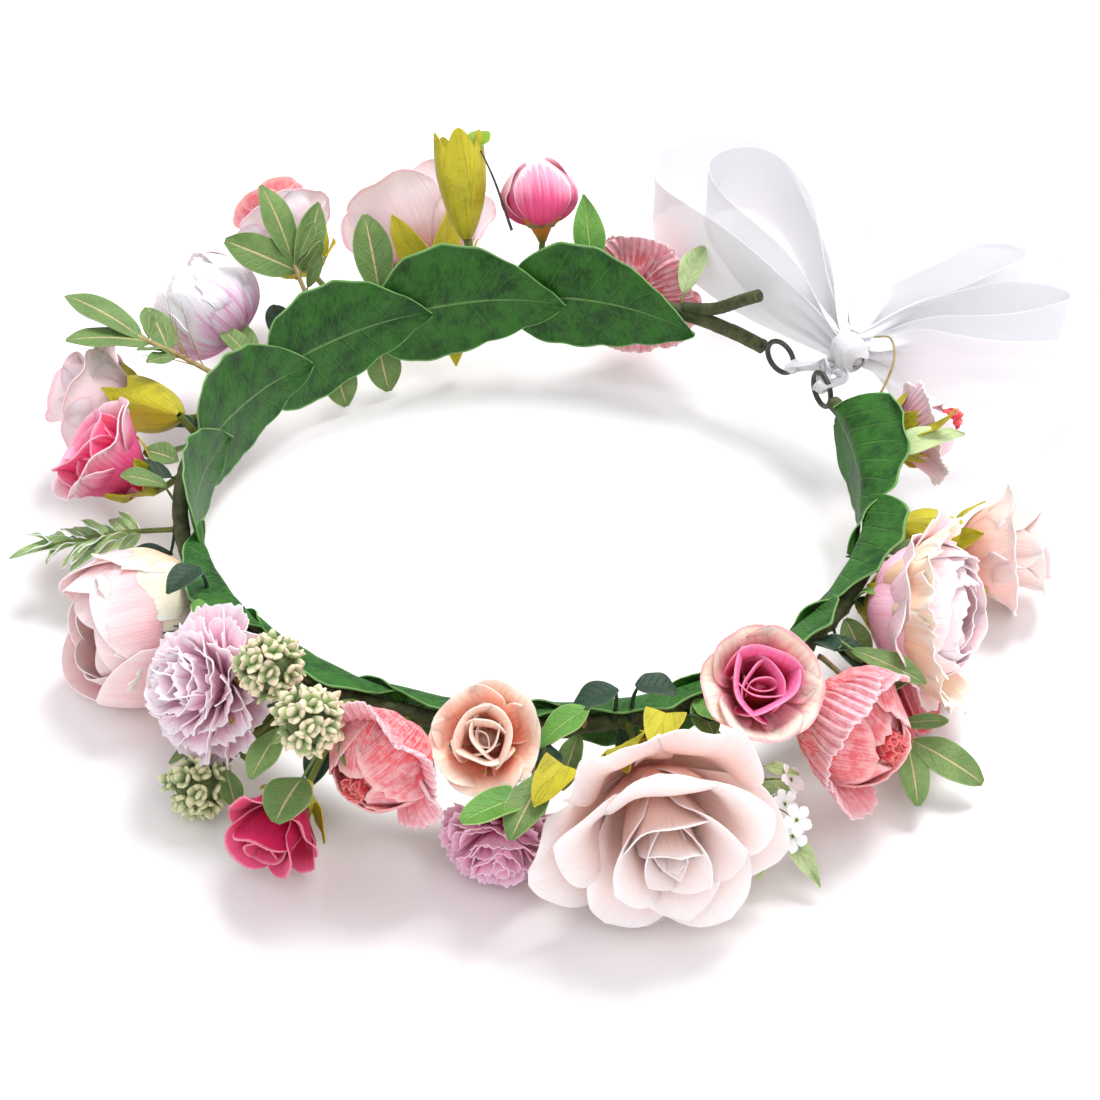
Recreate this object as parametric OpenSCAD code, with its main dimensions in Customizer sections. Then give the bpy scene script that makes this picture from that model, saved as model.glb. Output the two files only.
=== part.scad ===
// Flower crown: an open hoop of taped wire with fabric leaves along its inside,
// silk flowers and foliage on wire stems around its outside, and a ribbon bow at the gap.
// Millimetres, +Z up. The origin is the centre of the head opening on the plane
// that the crown rests on, and the gap of the hoop faces +Y.
// Places round the hoop are given as [angle, reach, height]: the angle of the outward
// direction, counter-clockwise from +X, the distance outward from the wire, and Z.

/* [Hoop] */
// Radius of the hoop, to the wire's centre
hoop_r = 95; // [94:0.5:96]
// Height of the wire above the resting plane
hoop_z = 30; // [29:0.5:31]
// Diameter of the bare core wire
wire_d = 1.6; // [1.2:0.1:1.8]
// Diameter of the wire with its wrap of floral tape
tape_d = 4.4; // [4:0.1:4.6]
// Angle at which the hoop flexes
flex_angle = 252; // [251:0.5:253]

/* [Lining leaves] */
// Thickness of a lining leaf
leaf_t = 0.5; // [0.4:0.1:0.6]
// Angle that one lining leaf spans along the hoop
leaf_span = 37; // [35:1:38]
// Angle from one lining leaf to the next
leaf_pitch = 26; // [25.5:0.5:26]
// How much further in a leaf's tip stands than its base
leaf_shingle = 2.4; // [2.2:0.1:2.6]

/* [Ribbon] */
// Width of the ribbon
ribbon_w = 24; // [20:1:25]
// Thickness of the folded ribbon
ribbon_t = 0.8; // [0.6:0.1:1]
// Radius of the knot
knot_r = 7; // [6:0.5:7]
// Length of the two large loops from the knot
big_loop = 100; // [90:1:104]

/* [Hidden] */
$fn = 48;

// ---- The hoop ----

wire_r = wire_d / 2;
tape_r = tape_d / 2;

function on_hoop(a, reach = 0, z = hoop_z) =
    [(hoop_r + reach) * cos(a), (hoop_r + reach) * sin(a), z];

// Where the taped wire of each arm ends, at the two sides of the gap
right_end = 437;
left_end = 97;
// Half of the slit between the two arms' tape where the hoop flexes
flex_slit = 0.3;

module tube(from, to, r)
    translate([0, 0, hoop_z])
        rotate([0, 0, from])
            rotate_extrude(angle = to - from)
                translate([hoop_r, 0])
                    circle(r);

module tape(from, to)
    translate([0, 0, hoop_z])
        rotate([0, 0, from])
            rotate_extrude(angle = to - from)
                translate([hoop_r, 0])
                    difference() {
                        circle(tape_r);
                        circle(wire_r + 0.05);
                    }

module core_wire_right() {
    color("dimgray") tube(flex_angle + flex_slit, right_end, wire_r);
}
module core_wire_left() {
    color("dimgray") tube(left_end, flex_angle - flex_slit, wire_r);
}
module tape_wrap_right() {
    color("darkolivegreen") tape(flex_angle + flex_slit, right_end);
}
module tape_wrap_left() {
    color("darkolivegreen") tape(left_end, flex_angle - flex_slit);
}

// A ring of bare wire at the end of an arm, with a shank that runs back to the tape
eye_r = 5;
eye_wire_r = 0.8;
module end_eye(end, way) {
    color("dimgray")
        translate(on_hoop(end))
            rotate([0, 0, end]) {
                translate([0, way * (eye_r + 2), 0])
                    rotate([0, 90, 0])
                        rotate_extrude()
                            translate([eye_r, 0])
                                circle(eye_wire_r, $fn = 24);
                rotate([-way * 90, 0, 0])
                    cylinder(h = 2, r = 0.6, $fn = 24);
            }
}
module end_eye_right() end_eye(right_end, 1);
module end_eye_left() end_eye(left_end, -1);

// A straight round rod from one point to another
module rod(from, to, r) {
    v = to - from;
    translate(from)
        rotate([0, acos(v[2] / norm(v)), atan2(v[1], v[0])])
            cylinder(h = norm(v), r = r);
}

// The second hoop wire's taped end, which rises beside the left end of the hoop
module wire_stub_left() {
    color("darkolivegreen") rod(on_hoop(108, 0.5, 35), on_hoop(100, 1.5, 45), 1.9);
}

// ---- The lining: twelve leaves, each with its tip inside the next leaf's base ----

first_leaf = 73;
leaf_gap = 0.3;
leaf_steps = 14;
// Height of each leaf at its widest, from the gap's right end round to its left end
LEAF_H = [36, 32, 28, 26, 26, 26, 30, 38, 40, 40, 40, 36];

function leaf_reach(t) = -tape_r - leaf_gap - leaf_shingle * t;
function leaf_angle(n, t) = first_leaf - leaf_pitch * (n - 1) - leaf_span * t;
function flat_point(p) = [p[0], p[1]];
function half_outline(t) = 0.5 * pow(sin(180 * pow(t, 0.62)), 0.75);

module lining_leaf(n) {
    steps = [for (i = [0:leaf_steps]) i / leaf_steps];
    back = [for (t = steps)
        flat_point(on_hoop(leaf_angle(n, t), leaf_reach(t)))];
    face = [for (i = [leaf_steps:-1:0])
        flat_point(on_hoop(leaf_angle(n, steps[i]), leaf_reach(steps[i]) - leaf_t))];
    base = on_hoop(leaf_angle(n, 0), leaf_reach(0));
    tip = on_hoop(leaf_angle(n, 1), leaf_reach(1));
    length = norm(tip - base);
    upper = [for (t = steps) [t * length, LEAF_H[n - 1] * half_outline(t)]];
    lower = [for (i = [leaf_steps - 1:-1:1]) [upper[i][0], -upper[i][1]]];
    color("forestgreen")
        intersection() {
            linear_extrude(height = 2 * hoop_z) polygon(concat(back, face));
            translate([base[0], base[1], hoop_z])
                rotate([90, 0, atan2(tip[1] - base[1], tip[0] - base[0])])
                    linear_extrude(height = 60, center = true)
                        polygon(concat(upper, lower));
        }
}
module lining_leaf_1() lining_leaf(1);
module lining_leaf_2() lining_leaf(2);
module lining_leaf_3() lining_leaf(3);
module lining_leaf_4() lining_leaf(4);
module lining_leaf_5() lining_leaf(5);
module lining_leaf_6() lining_leaf(6);
module lining_leaf_7() lining_leaf(7);
module lining_leaf_8() lining_leaf(8);
module lining_leaf_9() lining_leaf(9);
module lining_leaf_10() lining_leaf(10);
module lining_leaf_11() lining_leaf(11);
module lining_leaf_12() lining_leaf(12);

// ---- The flowers: each a full round head that faces along its own axis ----

// Each flower: angle, reach, height, radius, depth, turn from outward, tilt upward
RIBBED_CORAL = [125, 14, 27, 15.5, 17, 0, 10];
PINK_BUD = [141.5, 15, 56, 11, 20, 10, 60];
PALE_BACK = [157, 44, 24, 24, 28, 0, 18];
CORAL_BACK = [175.5, 43, 37, 17.5, 26, 0, 20];
WHITE_BUD = [194, 29, 38, 16, 26, 15, 35];
PALE_SIDE = [212.5, 37, 25, 17, 24, 0, 8];
HOT_PINK = [228.8, 21.5, 32.5, 14.4, 22, 0, 40];
BLUSH_CUP = [257.5, 22.5, 21, 21, 26, 0, 8];
CARNATION = [278, 21, 32, 17, 22, -10, 30];
CRIMSON = [295, 36, 16, 13.5, 20, 0, -8];
CORAL_BUD = [305, 23.5, 34, 14, 26, 0, 10];
PEACH = [317.4, 13.5, 38, 11, 16, 0, 50];
SMALL_CARNATION = [319.5, 24, 13, 13, 18, 0, -15];
LARGE_BLUSH = [337.5, 31, 26, 26, 36, 0, -10];
TWO_TONE = [352.8, 17, 45.5, 13, 16, -10, 55];
CORAL_VELVET = [4, 30, 28.5, 16.5, 26, 0, 12];
PINK_PEONY = [26.3, 23, 31, 23, 32, 5, 15];
PALE_PEACH = [47.4, 34, 18, 18, 26, 0, 5];
CORAL_END = [66.8, 20.5, 30, 16, 20, 0, 10];

// Puts a child that points along +Z at a flower's centre, along its axis
module facing(f)
    translate(on_hoop(f[0], f[1], f[2]))
        rotate([0, 90 - f[6], f[0] + f[5]])
            children();

module flower(f)
    facing(f)
        rotate_extrude()
            intersection() {
                circle(f[3]);
                translate([0, -f[4] / 2]) square([f[3], f[4]]);
            }

function flower_axis(f) =
    [cos(f[6]) * cos(f[0] + f[5]), cos(f[6]) * sin(f[0] + f[5]), sin(f[6])];

// The green cup behind a flower and the wire stem that the tape binds to the hoop
calyx_l = 5;
stem_r = 0.9;
stem_knob_r = 1.7;
function calyx_end(f) =
    on_hoop(f[0], f[1], f[2]) - (f[4] / 2 + calyx_l) * flower_axis(f);
function bound_end(f) =
    let (wire = on_hoop(f[0]), v = calyx_end(f) - wire)
    wire + (tape_r - 0.3) * v / norm(v);

module calyx(f) {
    stem = calyx_end(f) - bound_end(f);
    facing(f)
        translate([0, 0, -f[4] / 2 - calyx_l + 0.4])
            cylinder(h = calyx_l - 0.4, r1 = 1.1, r2 = 0.4 * f[3]);
    translate(calyx_end(f)) sphere(stem_knob_r);
    rod(bound_end(f), calyx_end(f) - 0.7 * stem / norm(stem), stem_r);
}

module ribbed_coral_rose() { color("lightcoral") flower(RIBBED_CORAL); }
module pink_rosebud() { color("hotpink") flower(PINK_BUD); }
module pale_rose_back() { color("lavenderblush") flower(PALE_BACK); }
module coral_rose_back() { color("lightcoral") flower(CORAL_BACK); }
module white_peony_bud() { color("lavenderblush") flower(WHITE_BUD); }
module pale_rose_side() { color("mistyrose") flower(PALE_SIDE); }
module hot_pink_rose() { color("deeppink") flower(HOT_PINK); }
module blush_cup_rose() { color("pink") flower(BLUSH_CUP); }
module lilac_carnation() { color("thistle") flower(CARNATION); }
module crimson_rose() { color("crimson") flower(CRIMSON); }
module coral_rosebud() { color("salmon") flower(CORAL_BUD); }
module peach_rose() { color("peachpuff") flower(PEACH); }
module small_carnation() { color("plum") flower(SMALL_CARNATION); }
module large_blush_rose() { color("mistyrose") flower(LARGE_BLUSH); }
module two_tone_rose() { color("deeppink") flower(TWO_TONE); }
module coral_velvet_rose() { color("salmon") flower(CORAL_VELVET); }
module pink_peony() { color("pink") flower(PINK_PEONY); }
module pale_peach_peony() { color("peachpuff") flower(PALE_PEACH); }
module coral_rose_end() { color("lightpink") flower(CORAL_END); }

LEFT_FLOWERS = [RIBBED_CORAL, PINK_BUD, PALE_BACK, CORAL_BACK, WHITE_BUD, PALE_SIDE, HOT_PINK];
FRONT_FLOWERS = [BLUSH_CUP, CARNATION, CRIMSON, CORAL_BUD, PEACH, SMALL_CARNATION];
RIGHT_FLOWERS = [LARGE_BLUSH, TWO_TONE, CORAL_VELVET, PINK_PEONY, PALE_PEACH, CORAL_END];
module calyxes_left() { color("yellowgreen") for (f = LEFT_FLOWERS) calyx(f); }
module calyxes_front() { color("yellowgreen") for (f = FRONT_FLOWERS) calyx(f); }
module calyxes_right() { color("yellowgreen") for (f = RIGHT_FLOWERS) calyx(f); }

// ---- Sedum heads: knobs of small fleshy leaves on short stems ----

// Each head: angle, reach, height, and the angle at which its stem leaves the hoop
SEDUM_1 = [288.3, 16, 46.8, 288.3];
SEDUM_2 = [298.5, 30, 50, 297];
SEDUM_3 = [281.8, 31, 9.5, 290];
sedum_r = 7.8;
module sedum(s) {
    head = on_hoop(s[0], s[1], s[2]);
    wire = on_hoop(s[3]);
    v = head - wire;
    color("darkseagreen") {
        translate(head) sphere(sedum_r);
        rod(wire + (tape_r - 0.3) * v / norm(v), head, stem_r);
    }
}
module sedum_head_1() sedum(SEDUM_1);
module sedum_head_2() sedum(SEDUM_2);
module sedum_head_3() sedum(SEDUM_3);

// ---- Foliage ----

plate_t = 0.8;
// A pointed leaf from the origin along +X
module leaf_plate(l, w) {
    r = (l * l + w * w) / (4 * w);
    linear_extrude(height = plate_t, center = true)
        intersection() {
            translate([l / 2, r - w / 2]) circle(r, $fn = 96);
            translate([l / 2, w / 2 - r]) circle(r, $fn = 96);
        }
}

// Puts a child that points along +X at a place, turned from outward and tilted up
module sprout(place, yaw, tilt)
    translate(on_hoop(place[0], place[1], place[2]))
        rotate([0, -tilt, place[0] + yaw])
            children();

// Each fixed leaf: angle, reach, height, turn, tilt, length, width
LEFT_LEAVES = [
    [132, 3, 38, 20, 55, 22, 10], [115, 3, 35, 0, 52, 16, 8],
    [170, 3, 34, -8, 62, 24, 12], [242, 3, 19, 3, 6, 16, 8],
    [179.5, 4.5, 17.5, 180, -70, 17, 11], [170.5, 4.5, 17.5, 180, -70, 17, 11]
];
FRONT_LEAVES = [
    [264, 3.5, 44, 25, 20, 13, 8], [291, 20, 31.5, 8, 0, 16, 8],
    [298, 33.5, 33.5, 0, 5, 14, 12], [323.5, 25, 32, -60, 10, 20, 9],
    [325, 22, 36, -28, -8, 20, 9], [331, 9, 44, -66, -6, 16, 8]
];
RIGHT_LEAVES = [
    [335.5, 5, 45, -85, 0, 12, 8], [338, 5, 45, 85, 0, 11, 8],
    [57, 3.5, 36, 0, 30, 22, 10], [13, 12, 32, 0, 10, 22, 8]
];
module fixed_leaf(f)
    sprout([f[0], f[1], f[2]], f[3], f[4]) leaf_plate(f[5], f[6]);
module leaves_left() { color("olivedrab") for (f = LEFT_LEAVES) fixed_leaf(f); }
module leaves_front() { color("olivedrab") for (f = FRONT_LEAVES) fixed_leaf(f); }
module leaves_right() { color("darkgreen") for (f = RIGHT_LEAVES) fixed_leaf(f); }

// A bendable sprig along +X: a wire stem with leaves, each as distance, turn, length, width
module sprig(stem, leaves) {
    rotate([0, 90, 0]) cylinder(h = stem, r = stem_r);
    for (leaf = leaves)
        translate([leaf[0], 0, 0])
            rotate([0, 0, leaf[1]])
                leaf_plate(leaf[2], leaf[3]);
}

// Where each bendable sprig leaves the tape, and the way it points: turn and tilt
SIDE_ROOT = [207, 3.5, 36];
BACK_ROOT = [183, 3.5, 36];
FROST_ROOT = [238, 3.5, 22];
RIGHT_ROOT = [14, 3.5, 22];
GYPS_ROOT = [351, 3.5, 22];
module olive_sprig_side() {
    color("olivedrab")
        sprout(SIDE_ROOT, 5, 17)
            sprig(26, [[25, -4, 26, 11], [22, 36, 24, 10], [16, -42, 20, 9]]);
}
module olive_sprig_back() {
    color("olivedrab")
        sprout(BACK_ROOT, 2, 56)
            sprig(17, [[16, 0, 24, 9], [13, 48, 24, 10], [13, -48, 22, 9]]);
}
module frosted_sprig() {
    color("lightgreen")
        sprout(FROST_ROOT, 0, -6)
            sprig(26, [[25, 0, 20, 6], [16, 38, 16, 6], [8, -40, 10, 5]]);
}
module olive_sprig_right() {
    color("olivedrab")
        sprout(RIGHT_ROOT, -5, -18)
            sprig(31, [[30, 14, 21, 9], [28, -42, 20, 8]]);
}
module gypsophila_sprig() {
    color("honeydew")
        sprout(GYPS_ROOT, 2, -17)
            sprig(30, [[29, 8, 20, 6], [26, -36, 18, 6], [16, 30, 12, 5]]);
}

// ---- The ribbon: a tie through the two end eyes, a knot, four loops and two tails ----

knot = on_hoop(81.5, 9, 40);

// Puts a child at the knot, pointing along +X at a compass angle and a slope
module from_knot(azimuth, slope)
    translate(knot) rotate([0, -slope, azimuth]) children();

// A drop-shaped outline from distance near to distance far, with a round end of radius r
module drop(near, far, r)
    polygon(concat(
        [[near, 0]],
        [for (a = [-100:10:100]) [far - r + r * cos(a), r * sin(a)]]
    ));

module ribbon_loop(near, far, r)
    linear_extrude(height = ribbon_w, center = true)
        difference() {
            drop(near, far, r);
            drop(near + ribbon_t * 4, far - ribbon_t, r - ribbon_t);
        }

function bezier(p, t) =
    pow(1 - t, 3) * p[0] + 3 * t * pow(1 - t, 2) * p[1]
    + 3 * t * t * (1 - t) * p[2] + pow(t, 3) * p[3];
function bezier_side(p, t) =
    let (d = bezier(p, t + 0.01) - bezier(p, t - 0.01))
    [-d[1], d[0]] / norm(d);

module ribbon_strip(p) {
    steps = [for (i = [0:18]) i / 18];
    linear_extrude(height = ribbon_w, center = true)
        polygon(concat(
            [for (t = steps) bezier(p, t) + ribbon_t / 2 * bezier_side(p, t)],
            [for (i = [18:-1:0])
                bezier(p, steps[i]) - ribbon_t / 2 * bezier_side(p, steps[i])]
        ));
}

module ribbon_knot() {
    color("white")
        translate(knot)
            rotate_extrude()
                intersection() {
                    circle(knot_r);
                    translate([0, -5]) square([knot_r, 10]);
                }
}
module ribbon_tie() {
    color("white") {
        rod(on_hoop(81.5, -4), on_hoop(81.5, 2.2), 1.4);
        translate(on_hoop(81.5, -4)) sphere(2);
        rod(on_hoop(81.5, -4), on_hoop(87.5, -3.4), 1.4);
    }
}
module bow_loop_outer() {
    color("white") from_knot(165, 4) ribbon_loop(knot_r + 0.6, big_loop, 18);
}
module bow_loop_inner() {
    color("white") from_knot(165, 4) ribbon_loop(24, 0.8 * big_loop, 10);
}
module flat_loop_upper() {
    color("white") from_knot(100, -12) ribbon_loop(knot_r + 0.6, 82, 6);
}
module flat_loop_lower() {
    color("white") from_knot(80, -12) ribbon_loop(knot_r + 0.6, 76, 6);
}
module ribbon_tail_upper() {
    color("white")
        translate(knot)
            rotate([-11, 0, 0])
                ribbon_strip([[-6, 6], [-60, 60], [-66, 105], [10, 136]]);
}
module ribbon_tail_lower() {
    color("white")
        translate(knot)
            rotate([-12, 0, 0])
                ribbon_strip([[6.5, 6.5], [26, 34], [32, 70], [24, 122]]);
}

core_wire_right();
tape_wrap_right();
end_eye_right();
core_wire_left();
tape_wrap_left();
end_eye_left();
wire_stub_left();
lining_leaf_1();
lining_leaf_2();
lining_leaf_3();
lining_leaf_4();
lining_leaf_5();
lining_leaf_6();
lining_leaf_7();
lining_leaf_8();
lining_leaf_9();
lining_leaf_10();
lining_leaf_11();
lining_leaf_12();
ribbed_coral_rose();
pink_rosebud();
pale_rose_back();
coral_rose_back();
white_peony_bud();
pale_rose_side();
hot_pink_rose();
blush_cup_rose();
lilac_carnation();
crimson_rose();
coral_rosebud();
peach_rose();
small_carnation();
large_blush_rose();
two_tone_rose();
coral_velvet_rose();
pink_peony();
pale_peach_peony();
coral_rose_end();
calyxes_left();
calyxes_front();
calyxes_right();
sedum_head_1();
sedum_head_2();
sedum_head_3();
leaves_left();
leaves_front();
leaves_right();
olive_sprig_side();
olive_sprig_back();
frosted_sprig();
olive_sprig_right();
gypsophila_sprig();
ribbon_tie();
ribbon_knot();
bow_loop_outer();
bow_loop_inner();
flat_loop_upper();
flat_loop_lower();
ribbon_tail_upper();
ribbon_tail_lower();
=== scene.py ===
import math

import bpy
import numpy as np
from mathutils import Matrix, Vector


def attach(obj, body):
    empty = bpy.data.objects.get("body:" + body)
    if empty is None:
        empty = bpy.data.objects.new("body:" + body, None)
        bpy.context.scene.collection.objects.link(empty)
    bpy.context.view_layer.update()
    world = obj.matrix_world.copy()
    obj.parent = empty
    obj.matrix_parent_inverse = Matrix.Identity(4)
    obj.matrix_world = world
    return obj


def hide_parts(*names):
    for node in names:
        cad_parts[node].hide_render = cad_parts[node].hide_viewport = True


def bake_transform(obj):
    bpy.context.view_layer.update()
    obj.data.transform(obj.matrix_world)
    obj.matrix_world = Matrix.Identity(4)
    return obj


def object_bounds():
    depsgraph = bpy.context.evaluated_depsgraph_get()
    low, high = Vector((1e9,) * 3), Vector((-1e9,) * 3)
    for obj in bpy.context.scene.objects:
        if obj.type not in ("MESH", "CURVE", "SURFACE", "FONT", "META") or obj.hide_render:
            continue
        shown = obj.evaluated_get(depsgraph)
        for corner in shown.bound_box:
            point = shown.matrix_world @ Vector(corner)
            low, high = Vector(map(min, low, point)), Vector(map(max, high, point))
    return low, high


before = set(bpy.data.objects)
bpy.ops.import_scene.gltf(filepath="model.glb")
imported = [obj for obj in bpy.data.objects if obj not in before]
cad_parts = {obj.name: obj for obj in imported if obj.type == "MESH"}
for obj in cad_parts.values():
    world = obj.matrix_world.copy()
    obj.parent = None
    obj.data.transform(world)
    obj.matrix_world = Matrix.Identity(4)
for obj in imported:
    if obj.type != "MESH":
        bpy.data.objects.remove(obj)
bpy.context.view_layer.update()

scene = bpy.context.scene

# All shapes are worked out in millimetres in the CAD frame, and scaled once, in build().
MM = 0.001
HOOP_R, HOOP_Z = 95.0, 30.0
TAPE_R = 2.2
RIGHT_END, LEFT_END, FLEX_ANGLE = 437.0, 97.0, 252.0
REST_Z = 2.0  # below this height, cloth flattens against the surface that the crown stands on

# The photograph's view, in degrees and metres. The shifts are shares of the picture's width.
VIEW_AZIMUTH, VIEW_ELEVATION = 53.0, 38.5
VIEW_TARGET, VIEW_DISTANCE, VIEW_WIDTH = (0, 0, 0.03), 0.75, 0.301
VIEW_SHIFT_X, VIEW_SHIFT_Y = 0.019, -0.057
SENSOR = 36.0  # millimetres


# ---------------------------------------------------------------- camera, light and floor

def direction(azimuth, elevation):
    a, e = math.radians(azimuth), math.radians(elevation)
    return np.array([math.sin(a) * math.cos(e), -math.cos(a) * math.cos(e), math.sin(e)])


def make_camera():
    back = direction(VIEW_AZIMUTH, VIEW_ELEVATION)
    data = bpy.data.cameras.new("camera")
    data.sensor_width = SENSOR
    data.lens = SENSOR * VIEW_DISTANCE / VIEW_WIDTH
    data.shift_x, data.shift_y = VIEW_SHIFT_X, VIEW_SHIFT_Y
    data.clip_start = 0.01
    cam = bpy.data.objects.new("camera", data)
    scene.collection.objects.link(cam)
    right = np.cross([0, 0, 1], back)
    right /= np.linalg.norm(right)
    up = np.cross(back, right)
    matrix = np.eye(4)
    matrix[:3, 0], matrix[:3, 1], matrix[:3, 2] = right, up, back
    matrix[:3, 3] = np.array(VIEW_TARGET) + VIEW_DISTANCE * back
    cam.matrix_world = Matrix(matrix.tolist())
    scene.camera = cam


make_camera()


# ---------------------------------------------------------------- vectors and frames

def unit(v):
    v = np.asarray(v, float)
    return v / np.maximum(np.linalg.norm(v, axis=-1, keepdims=True), 1e-9)


def turn_z(a):
    c, s = math.cos(math.radians(a)), math.sin(math.radians(a))
    return np.array([[c, -s, 0], [s, c, 0], [0, 0, 1.0]])


def turn_y(a):
    c, s = math.cos(math.radians(a)), math.sin(math.radians(a))
    return np.array([[c, 0, s], [0, 1.0, 0], [-s, 0, c]])


def on_hoop(a, reach=0.0, z=HOOP_Z):
    a = math.radians(a)
    return np.array([(HOOP_R + reach) * math.cos(a), (HOOP_R + reach) * math.sin(a), z])


def smooth(t):
    t = np.clip(t, 0, 1)
    return t * t * (3 - 2 * t)


def bezier(points, n):
    """A smooth curve through the given points (Catmull-Rom), n samples a span."""
    p = np.array(points, float)
    p = np.vstack([2 * p[0] - p[1], p, 2 * p[-1] - p[-2]])
    t = np.linspace(0, 1, n, endpoint=False)[:, None]
    rows = []
    for a, b, c, d in zip(p[:-3], p[1:-2], p[2:-1], p[3:]):
        rows.append(0.5 * (2 * b + (c - a) * t + (2 * a - 5 * b + 4 * c - d) * t ** 2
                           + (3 * b - a - 3 * c + d) * t ** 3))
    return np.vstack(rows + [p[-2:-1]])


# ---------------------------------------------------------------- meshes

class Piece:
    """Vertices and faces of one object. Each vertex carries (across, along, random) and a side."""

    def __init__(self):
        self.parts = []
        self.count = 0

    def add(self, verts, faces, tone, side, mat=0):
        """faces is a list of integer arrays, each of shape (n, corners)."""
        faces = [np.asarray(f, int) + self.count for f in faces if len(f)]
        self.parts.append((verts, faces, tone, side, mat))
        self.count += len(verts)

    def add_sheet(self, grid, thick, tone, mat=0):
        """A closed thin sheet round a grid of points of shape (rows, columns, 3)."""
        n, m, _ = grid.shape
        normal = unit(np.cross(np.gradient(grid, axis=1), np.gradient(grid, axis=0)))
        front, back = grid + normal * thick / 2, grid - normal * thick / 2
        ids = np.arange(n * m).reshape(n, m)
        quads = np.stack([ids[:-1, :-1], ids[:-1, 1:], ids[1:, 1:], ids[1:, :-1]], -1).reshape(-1, 4)
        loop = np.concatenate([ids[0, :-1], ids[:-1, -1], ids[-1, :0:-1], ids[:0:-1, 0]])
        after = np.roll(loop, -1)
        rim = np.stack([loop, loop + n * m, after + n * m, after], -1)
        tone = tone.reshape(-1, 3)
        self.add(np.vstack([front.reshape(-1, 3), back.reshape(-1, 3)]),
                 [quads, quads[:, ::-1] + n * m, rim], np.vstack([tone, tone]),
                 np.repeat([0.0, 1.0], n * m), mat)

    def add_tube(self, path, radius, sides=10, rnd=0.5, mat=0, ripple=None):
        """A closed round tube along a path. radius is a number or one value a point."""
        path = np.asarray(path, float)
        k = len(path)
        radius = np.broadcast_to(np.asarray(radius, float), (k,))
        tangent = unit(np.gradient(path, axis=0))
        side = np.zeros((k, 3))
        v = np.cross(tangent[0], [0, 0, 1.0])
        v = np.cross(tangent[0], [1.0, 0, 0]) if np.linalg.norm(v) < 0.1 else v
        for i in range(k):
            v = unit(v - tangent[i] * np.dot(v, tangent[i]))
            side[i] = v
        other = np.cross(tangent, side)
        angle = np.linspace(0, 2 * math.pi, sides, endpoint=False)
        wide = radius[:, None] * np.ones((k, sides))
        if ripple is not None:
            wide = wide + ripple(np.arange(k)[:, None], angle[None, :])
        ring = (path[:, None] + wide[..., None] * (np.cos(angle)[None, :, None] * side[:, None]
                + np.sin(angle)[None, :, None] * other[:, None]))
        ids = np.arange(k * sides).reshape(k, sides)
        nxt = np.roll(ids, -1, axis=1)
        quads = np.stack([ids[:-1], nxt[:-1], nxt[1:], ids[1:]], -1).reshape(-1, 4)
        along = np.linspace(0, 1, k)[:, None] * np.ones((k, sides))
        round_ = (angle / (2 * math.pi))[None, :] * np.ones((k, sides))
        tone = np.stack([round_, along, np.full_like(along, rnd)], -1).reshape(-1, 3)
        self.add(ring.reshape(-1, 3), [quads, ids[:1, ::-1], ids[-1:]], tone,
                 np.zeros(k * sides), mat)

    def add_blob(self, centre, axes, shape, rings=9, sides=12, rnd=0.5, mat=0):
        """A closed lathe-like body: shape(t) is the radius at t along axes[2], from 0 to 1."""
        t = np.linspace(0, 1, rings)
        path = centre + axes[2] * t[:, None]
        angle = np.linspace(0, 2 * math.pi, sides, endpoint=False)
        r = np.maximum(shape(t), 0.02)
        ring = (path[:, None] + r[:, None, None] * (np.cos(angle)[None, :, None] * axes[0]
                + np.sin(angle)[None, :, None] * axes[1]))
        ids = np.arange(rings * sides).reshape(rings, sides)
        nxt = np.roll(ids, -1, axis=1)
        quads = np.stack([ids[:-1], nxt[:-1], nxt[1:], ids[1:]], -1).reshape(-1, 4)
        tone = np.stack([np.tile(np.sin(angle), (rings, 1)), np.tile(t[:, None], (1, sides)),
                         np.full((rings, sides), rnd)], -1).reshape(-1, 3)
        self.add(ring.reshape(-1, 3), [quads, ids[:1, ::-1], ids[-1:]], tone,
                 np.zeros(rings * sides), mat)

    def moved(self, origin, axes):
        """Every point p becomes origin + axes @ p."""
        self.parts = [(v @ np.asarray(axes).T + origin, f, t, s, m) for v, f, t, s, m in self.parts]
        return self

    def build(self, name, materials, sharp=50):
        verts = np.vstack([p[0] for p in self.parts])
        low = verts[:, 2] < REST_Z
        verts[low, 2] = REST_Z * np.exp((verts[low, 2] - REST_Z) / REST_Z)
        corners, starts, mats, at = [], [], [], 0
        for _, faces, _, _, mat in self.parts:
            for f in faces:
                corners.append(f.ravel())
                starts.append(at + np.arange(len(f)) * f.shape[1])
                mats.append(np.full(len(f), mat))
                at += f.size
        me = bpy.data.meshes.new(name)
        me.vertices.add(len(verts))
        me.vertices.foreach_set("co", (verts * MM).astype(np.float32).ravel())
        me.loops.add(at)
        me.loops.foreach_set("vertex_index", np.concatenate(corners).astype(np.int32))
        starts, mats = np.concatenate(starts), np.concatenate(mats)
        me.polygons.add(len(starts))
        me.polygons.foreach_set("loop_start", starts.astype(np.int32))
        me.polygons.foreach_set("material_index", mats.astype(np.int32))
        me.polygons.foreach_set("use_smooth", np.ones(len(starts), bool))
        me.update(calc_edges=True)
        tone = me.attributes.new("tone", "FLOAT_VECTOR", "POINT")
        tone.data.foreach_set("vector", np.vstack([p[2] for p in self.parts]).astype(np.float32).ravel())
        side = me.attributes.new("side", "FLOAT", "POINT")
        side.data.foreach_set("value", np.concatenate([p[3] for p in self.parts]).astype(np.float32))
        me.set_sharp_from_angle(angle=math.radians(sharp))
        for m in materials:
            me.materials.append(m)
        obj = bpy.data.objects.new(name, me)
        scene.collection.objects.link(obj)
        return obj


# ---------------------------------------------------------------- materials

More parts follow.
